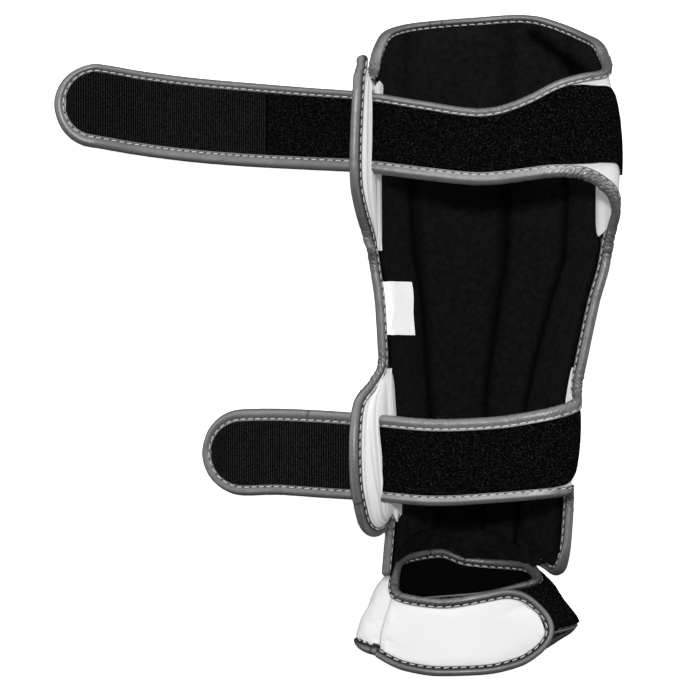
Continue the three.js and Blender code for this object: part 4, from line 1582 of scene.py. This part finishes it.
def make_strap(kind, rows, surface, limits, wing_end, hook_start, tape_from, corners, facing_span, seed):
    joint = along_ribbon(rows, wing_end)
    wing = make_leaf(
        f"right_{kind}_wing_leaf", surface, np.linspace(0.004, joint, 41), np.linspace(0, 1, 49), STRAP,
    )
    facing = make_facing(
        f"right_{kind}_facing", right_facing(rows, surface, *facing_span),
        rows=61, creases=6, seed=seed, sink=0.6, dark=0.3, flip=True,
    )
    join(wing, facing)
    soften(wing)
    hand_over(wing, white_pu_leather(), "white_leather", f"right_{kind}_wing")

    strap = lay_cloth(f"{kind}_strap_web", surface, np.linspace(joint, 1, 121), np.linspace(0, 1, 13))
    thicken(strap, STRAP, 0)
    soften(strap)
    hand_over(strap, white_pu_leather(), "white_leather", f"{kind}_strap")

    start = along_ribbon(rows, tape_from)
    change = along_ribbon(rows, hook_start)
    reach = (rows["top"][-1] - rows["bottom"][-1]) / 2 - TAPE_INSET - 0.5
    tip = np.linspace(along_ribbon(rows, len(rows["x"]) - 1), 1, 200)
    end = np.interp(reach, rows["x"][-1] - surface(tip, 0 * tip + 0.5)[:, 0], tip)
    band = tape_band(rows, surface, limits, tape_from, *corners)
    us = even_steps(surface, start + 1e-4, change - 0.0005, tuft_step())
    vs = np.linspace(0, 1, round(TAPE_WIDTH / tuft_step()))
    loop = make_tape(f"{kind}_loop_pile", band, us, vs, seed)
    hand_over(loop, nylon_loop_pile(), "loop_pile", f"{kind}_strap_loop")

    us = even_steps(surface, change + 0.0005, end, sizes().hook_pitch / MM / 4)
    vs = np.linspace(0, 1, HOOK_ROWS)
    hook = make_tape(f"{kind}_hook_ribs", band, us, vs, seed + 1, ribs=math.pi / 4)
    hand_over(hook, woven_hook_tape(), "hook_tape", f"{kind}_strap_hook")


def make_gusset():
    columns = np.linspace(0, 1, 61)
    rows = np.linspace(0, 1, 23)
    cloth = lay_cloth("gusset_cloth", gusset, columns, rows)
    swell(cloth, grid_border(columns, rows), pressure=-2, most=3, spare=0.04)
    make_up(cloth, GUSSET_WALL, brushed_knit_lining(), "black_lining", "ankle_gusset")


def make_instep_pad():
    columns = np.linspace(0, 1, 141)
    rows = np.linspace(0, 1, 29)

    def tucked(u, v):
        """Its first end lies deeper, under the strap's root."""
        return -1.5 * smoothstep(-u, -0.015, 0)

    shell = lay_cloth("instep_cover", instep, columns, rows, tucked)
    flap = np.tile(instep_angle(columns) > FLAP_START, len(rows))
    swell(shell, grid_border(columns, rows) | flap, pressure=6, most=1.8, spare=0.02)
    make_up(shell, INSTEP_WALL, white_pu_leather(), "white_leather", "instep_shell")

    def inside(u, v):
        full = smoothstep(np.minimum(v, 1 - v), 0, 0.25)
        return -lerp(INSTEP_EDGE, instep_at(instep_angle(u), "thick"), full) - GAP - INSTEP_LINING

    columns = np.linspace(0, instep_share(LINING_END), 111)
    lining = lay_cloth("instep_inside", instep, columns, rows, inside)
    # Painted shade darkens the knit inside the sleeve
    keep(lining, "shadow", np.full(len(columns) * len(rows), 0.8))
    thicken(lining, INSTEP_LINING, 1)
    soften(lining)
    hand_over(lining, brushed_knit_lining(), "black_lining", "instep_lining")

    first, last = (instep_share(angle) for angle in LOOP_PATCH)
    along, across = (round(size / tuft_step()) for size in LOOP_PATCH_SIZE)
    patch = lay_cloth(
        "instep_pile", instep, np.linspace(first, last, along), np.linspace(0, 1, across), GAP + TAPE,
    )
    thicken(patch, TAPE, -1)
    push(patch, LOOP_PATCH_PILE * fleece(across, along, 71))
    soften(patch, 80)
    hand_over(patch, nylon_loop_pile(), "loop_pile", "instep_loop_patch")


def make_instep_strap():
    columns = np.linspace(0, 1, 71)
    rows = np.linspace(0, 1, 29)

    def outside(u, v):
        """Its root runs out thin on the flank."""
        return INSTEP_STRAP / 2 - 0.6 - 2.4 * smoothstep(u, 0.94, 1)

    strap = lay_cloth("instep_strap_pad", instep_strap, columns, rows, outside)
    swell(strap, grid_border(columns, rows), pressure=6, most=1.4)
    make_up(strap, INSTEP_STRAP - 0.9, white_pu_leather(), "white_leather", "instep_strap")


BOUND_NODES = {
    "right_edge_fold": (
        "right_ankle_binding", "lower_strap_binding", "right_binding", "upper_strap_binding",
        "top_rim_binding",
    ),
    "left_edge_fold": ("left_binding", "left_ankle_binding"),
    "instep_ring_fold": ("instep_ankle_binding", "instep_strap_binding"),
    "instep_toe_fold": ("instep_toe_binding",),
}


def make_bindings():
    for seed, (name, path) in enumerate(edge_paths().items()):
        piece = bind(name, path, seed)
        hand_over(piece, grey_binding_leather(), "grey_leather", *BOUND_NODES[name])


def make_stitching():
    for name, path in edge_paths().items():
        sew_edge(name.replace("fold", "stitches"), path)


# The stage

PHOTO_WIDTH = 695  # pixels, and the same high
PIXEL = 0.70  # mm on the plane that the straps lie near
PLANE_HEIGHT = 60
CAMERA = Vector((-96.25, -1.4, 3000)) * MM
# One lamp, a little to the knee's side of the camera
LAMP = Vector((-0.1, 0.7, 3.3))
LAMP_SIZE = 0.3
LAMP_POWER = 62
# How bright the studio is by direction: along an axis, from low to high, it goes from one share to another.
# A bright band stands above the horizon at both sides and past the knee, under a dim ceiling
STUDIO = (
    ("Z", -0.06, 0.1, 0.1, 2.1),
    ("Z", 0.4, 0.62, 1, 0.04),
    ("Y", -0.6, 0, 0.12, 1),
    ("X", -1, 1, 1.05, 0.95),
)


def make_stage():
    pick()
    bpy.ops.mesh.primitive_plane_add(size=sizes().floor_size, location=(0, 0, 0))
    floor = bpy.context.object
    floor.name = "floor"
    floor.data.transform(floor.matrix_world)
    floor.location = (0, 0, -0.2 * MM)
    floor.data.materials.append(studio_floor())
    floor.visible_diffuse = False
    floor.visible_glossy = False

    scene = bpy.context.scene
    view = bpy.data.cameras.new("photo_view")
    half = PHOTO_WIDTH * PIXEL / 2 / (CAMERA.z / MM - PLANE_HEIGHT)
    view.sensor_width = 36
    view.lens = view.sensor_width / 2 / half
    view.clip_end = 100
    camera = bpy.data.objects.new("photo_view", view)
    camera.location = CAMERA
    scene.collection.objects.link(camera)
    scene.camera = camera
    scene.view_settings.view_transform = "Standard"

    world = bpy.data.worlds.new("studio")
    world.use_nodes = True
    sky = world.node_tree
    way = add_node(sky, "SeparateXYZ", {0: add_node(sky, "TexCoord").outputs["Generated"]})
    strength = 1
    for axis, low, high, first, last in STUDIO:
        part = add_node(sky, "MapRange", {
            "Value": way.outputs[axis], "From Min": low, "From Max": high, "To Min": first, "To Max": last,
        }).outputs["Result"]
        strength = add_node(sky, "Math", {0: strength, 1: part}, operation="MULTIPLY").outputs["Value"]
    sky.links.new(strength, sky.nodes["Background"].inputs["Strength"])
    sky.nodes["Background"].inputs["Color"].default_value = (1, 1, 1, 1)
    scene.world = world

    lamp = bpy.data.lights.new("overhead", "AREA")
    lamp.shape = "SQUARE"
    lamp.size = LAMP_SIZE
    lamp.energy = LAMP_POWER
    light = bpy.data.objects.new("overhead", lamp)
    light.location = LAMP
    light.rotation_euler = (-LAMP).to_track_quat("-Z", "Y").to_euler()
    light.visible_camera = False
    scene.collection.objects.link(light)


# The add-on

def length_property(name, description, default):
    return bpy.props.FloatProperty(name=name, description=description, default=default, unit="LENGTH")


class PROTECTOR_PG_sizes(bpy.types.PropertyGroup):
    """Sizes that change the finish of the protector"""

    stitch_pitch: length_property("Stitch pitch", "From one stitch to the next", 0.006)
    stitch_length: length_property("Stitch length", "Thread that shows of each stitch", 0.0044)
    thread_width: length_property("Thread width", "Width of the sewing thread", 0.00072)
    pile_tuft: length_property("Loop size", "Size of a tuft of the loop pile", 0.0011)
    hook_pitch: length_property("Hook pitch", "From one row of hooks to the next", 0.0018)
    floor_size: length_property("Floor size", "Width of the floor", 12.0)


def colour_property(name, description, hex_code):
    return bpy.props.FloatVectorProperty(
        name=name, description=description, default=linear(hex_code), subtype="COLOR", size=3, min=0, max=1,
    )


class PROTECTOR_PG_colours(bpy.types.PropertyGroup):
    """Colours of the protector's materials"""

    white_leather: colour_property("White leather", "Shell, wings and straps", "#f6f6f6")
    grey_leather: colour_property("Grey leather", "Edge binding", "#535356")
    lining: colour_property("Lining", "Brushed knit", "#181818")
    loop_pile: colour_property("Loop pile", "Loop side of the tape", "#070707")
    hook_tape: colour_property("Hook tape", "Hook side of the tape", "#090909")
    label_cloth: colour_property("Label", "Care label", "#fafaf8")
    thread: colour_property("Thread", "Stitches", "#e2e2e2")
    needle_hole: colour_property("Needle hole", "Shadow between the stitches", "#050505")
    floor: colour_property("Floor", "Studio floor", "#f4f4f4")


class PROTECTOR_OT_stage(bpy.types.Operator):
    """Set the floor, the lights and the camera"""

    bl_idname = "protector.stage"
    bl_label = "Stage"

    def execute(self, context):
        make_stage()
        return {"FINISHED"}


class PROTECTOR_OT_shin_pad(bpy.types.Operator):
    """Make the padded shin shell and its sewn lining"""

    bl_idname = "protector.shin_pad"
    bl_label = "Shin pad"

    def execute(self, context):
        make_shin_pad()
        return {"FINISHED"}


class PROTECTOR_OT_care_label(bpy.types.Operator):
    """Make the bare care label"""

    bl_idname = "protector.care_label"
    bl_label = "Care label"

    def execute(self, context):
        make_care_label()
        return {"FINISHED"}


class PROTECTOR_OT_left_wings(bpy.types.Operator):
    """Make the two slotted wings on the left rim"""

    bl_idname = "protector.left_wings"
    bl_label = "Left wings"

    def execute(self, context):
        make_left_wing("left_upper_wing", LEFT_UPPER_WING, left_upper, upper_ribbon, seed=31)
        make_left_wing("left_lower_wing", LEFT_LOWER_WING, left_lower, lower_ribbon, seed=37)
        return {"FINISHED"}


class PROTECTOR_OT_straps(bpy.types.Operator):
    """Make the right wings with their straps, loop pile and hook tape"""

    bl_idname = "protector.straps"
    bl_label = "Straps"

    def execute(self, context):
        for kind, details in STRAPS.items():
            make_strap(kind, **details)
        return {"FINISHED"}


class PROTECTOR_OT_gusset(bpy.types.Operator):
    """Make the ankle gusset"""

    bl_idname = "protector.gusset"
    bl_label = "Ankle gusset"

    def execute(self, context):
        make_gusset()
        return {"FINISHED"}


class PROTECTOR_OT_instep_pad(bpy.types.Operator):
    """Make the instep pad with its lining and loop patch"""

    bl_idname = "protector.instep_pad"
    bl_label = "Instep pad"

    def execute(self, context):
        make_instep_pad()
        return {"FINISHED"}


class PROTECTOR_OT_instep_strap(bpy.types.Operator):
    """Make the padded strap under the foot"""

    bl_idname = "protector.instep_strap"
    bl_label = "Instep strap"

    def execute(self, context):
        make_instep_strap()
        return {"FINISHED"}


class PROTECTOR_OT_bindings(bpy.types.Operator):
    """Make the folded leather bindings"""

    bl_idname = "protector.bindings"
    bl_label = "Bindings"

    def execute(self, context):
        make_bindings()
        return {"FINISHED"}


class PROTECTOR_OT_stitching(bpy.types.Operator):
    """Make the stitches along the bindings"""

    bl_idname = "protector.stitching"
    bl_label = "Stitching"

    def execute(self, context):
        make_stitching()
        return {"FINISHED"}


OPERATORS = (
    PROTECTOR_OT_stage,
    PROTECTOR_OT_shin_pad,
    PROTECTOR_OT_care_label,
    PROTECTOR_OT_left_wings,
    PROTECTOR_OT_straps,
    PROTECTOR_OT_gusset,
    PROTECTOR_OT_instep_pad,
    PROTECTOR_OT_instep_strap,
    PROTECTOR_OT_bindings,
    PROTECTOR_OT_stitching,
)


class PROTECTOR_PT_panel(bpy.types.Panel):
    """The protector's sizes, colours and pieces"""

    bl_idname = "PROTECTOR_PT_panel"
    bl_label = "Shin and Instep Protector"
    bl_space_type = "VIEW_3D"
    bl_region_type = "UI"
    bl_category = "Protector"

    def draw(self, context):
        for group in (context.scene.protector_sizes, context.scene.protector_colours):
            for name in group.__annotations__:
                self.layout.prop(group, name)
        for operator in OPERATORS:
            self.layout.operator(operator.bl_idname)


CLASSES = (PROTECTOR_PG_sizes, PROTECTOR_PG_colours, *OPERATORS, PROTECTOR_PT_panel)


def register():
    for item in CLASSES:
        bpy.utils.register_class(item)
    bpy.types.Scene.protector_sizes = bpy.props.PointerProperty(type=PROTECTOR_PG_sizes)
    bpy.types.Scene.protector_colours = bpy.props.PointerProperty(type=PROTECTOR_PG_colours)


def unregister():
    del bpy.types.Scene.protector_colours
    del bpy.types.Scene.protector_sizes
    for item in reversed(CLASSES):
        bpy.utils.unregister_class(item)


def main():
    register()
    bpy.ops.protector.stage()
    bpy.ops.protector.shin_pad()
    bpy.ops.protector.care_label()
    bpy.ops.protector.left_wings()
    bpy.ops.protector.straps()
    bpy.ops.protector.gusset()
    bpy.ops.protector.instep_pad()
    bpy.ops.protector.instep_strap()
    bpy.ops.protector.bindings()
    bpy.ops.protector.stitching()


if __name__ == "__main__":
    main()
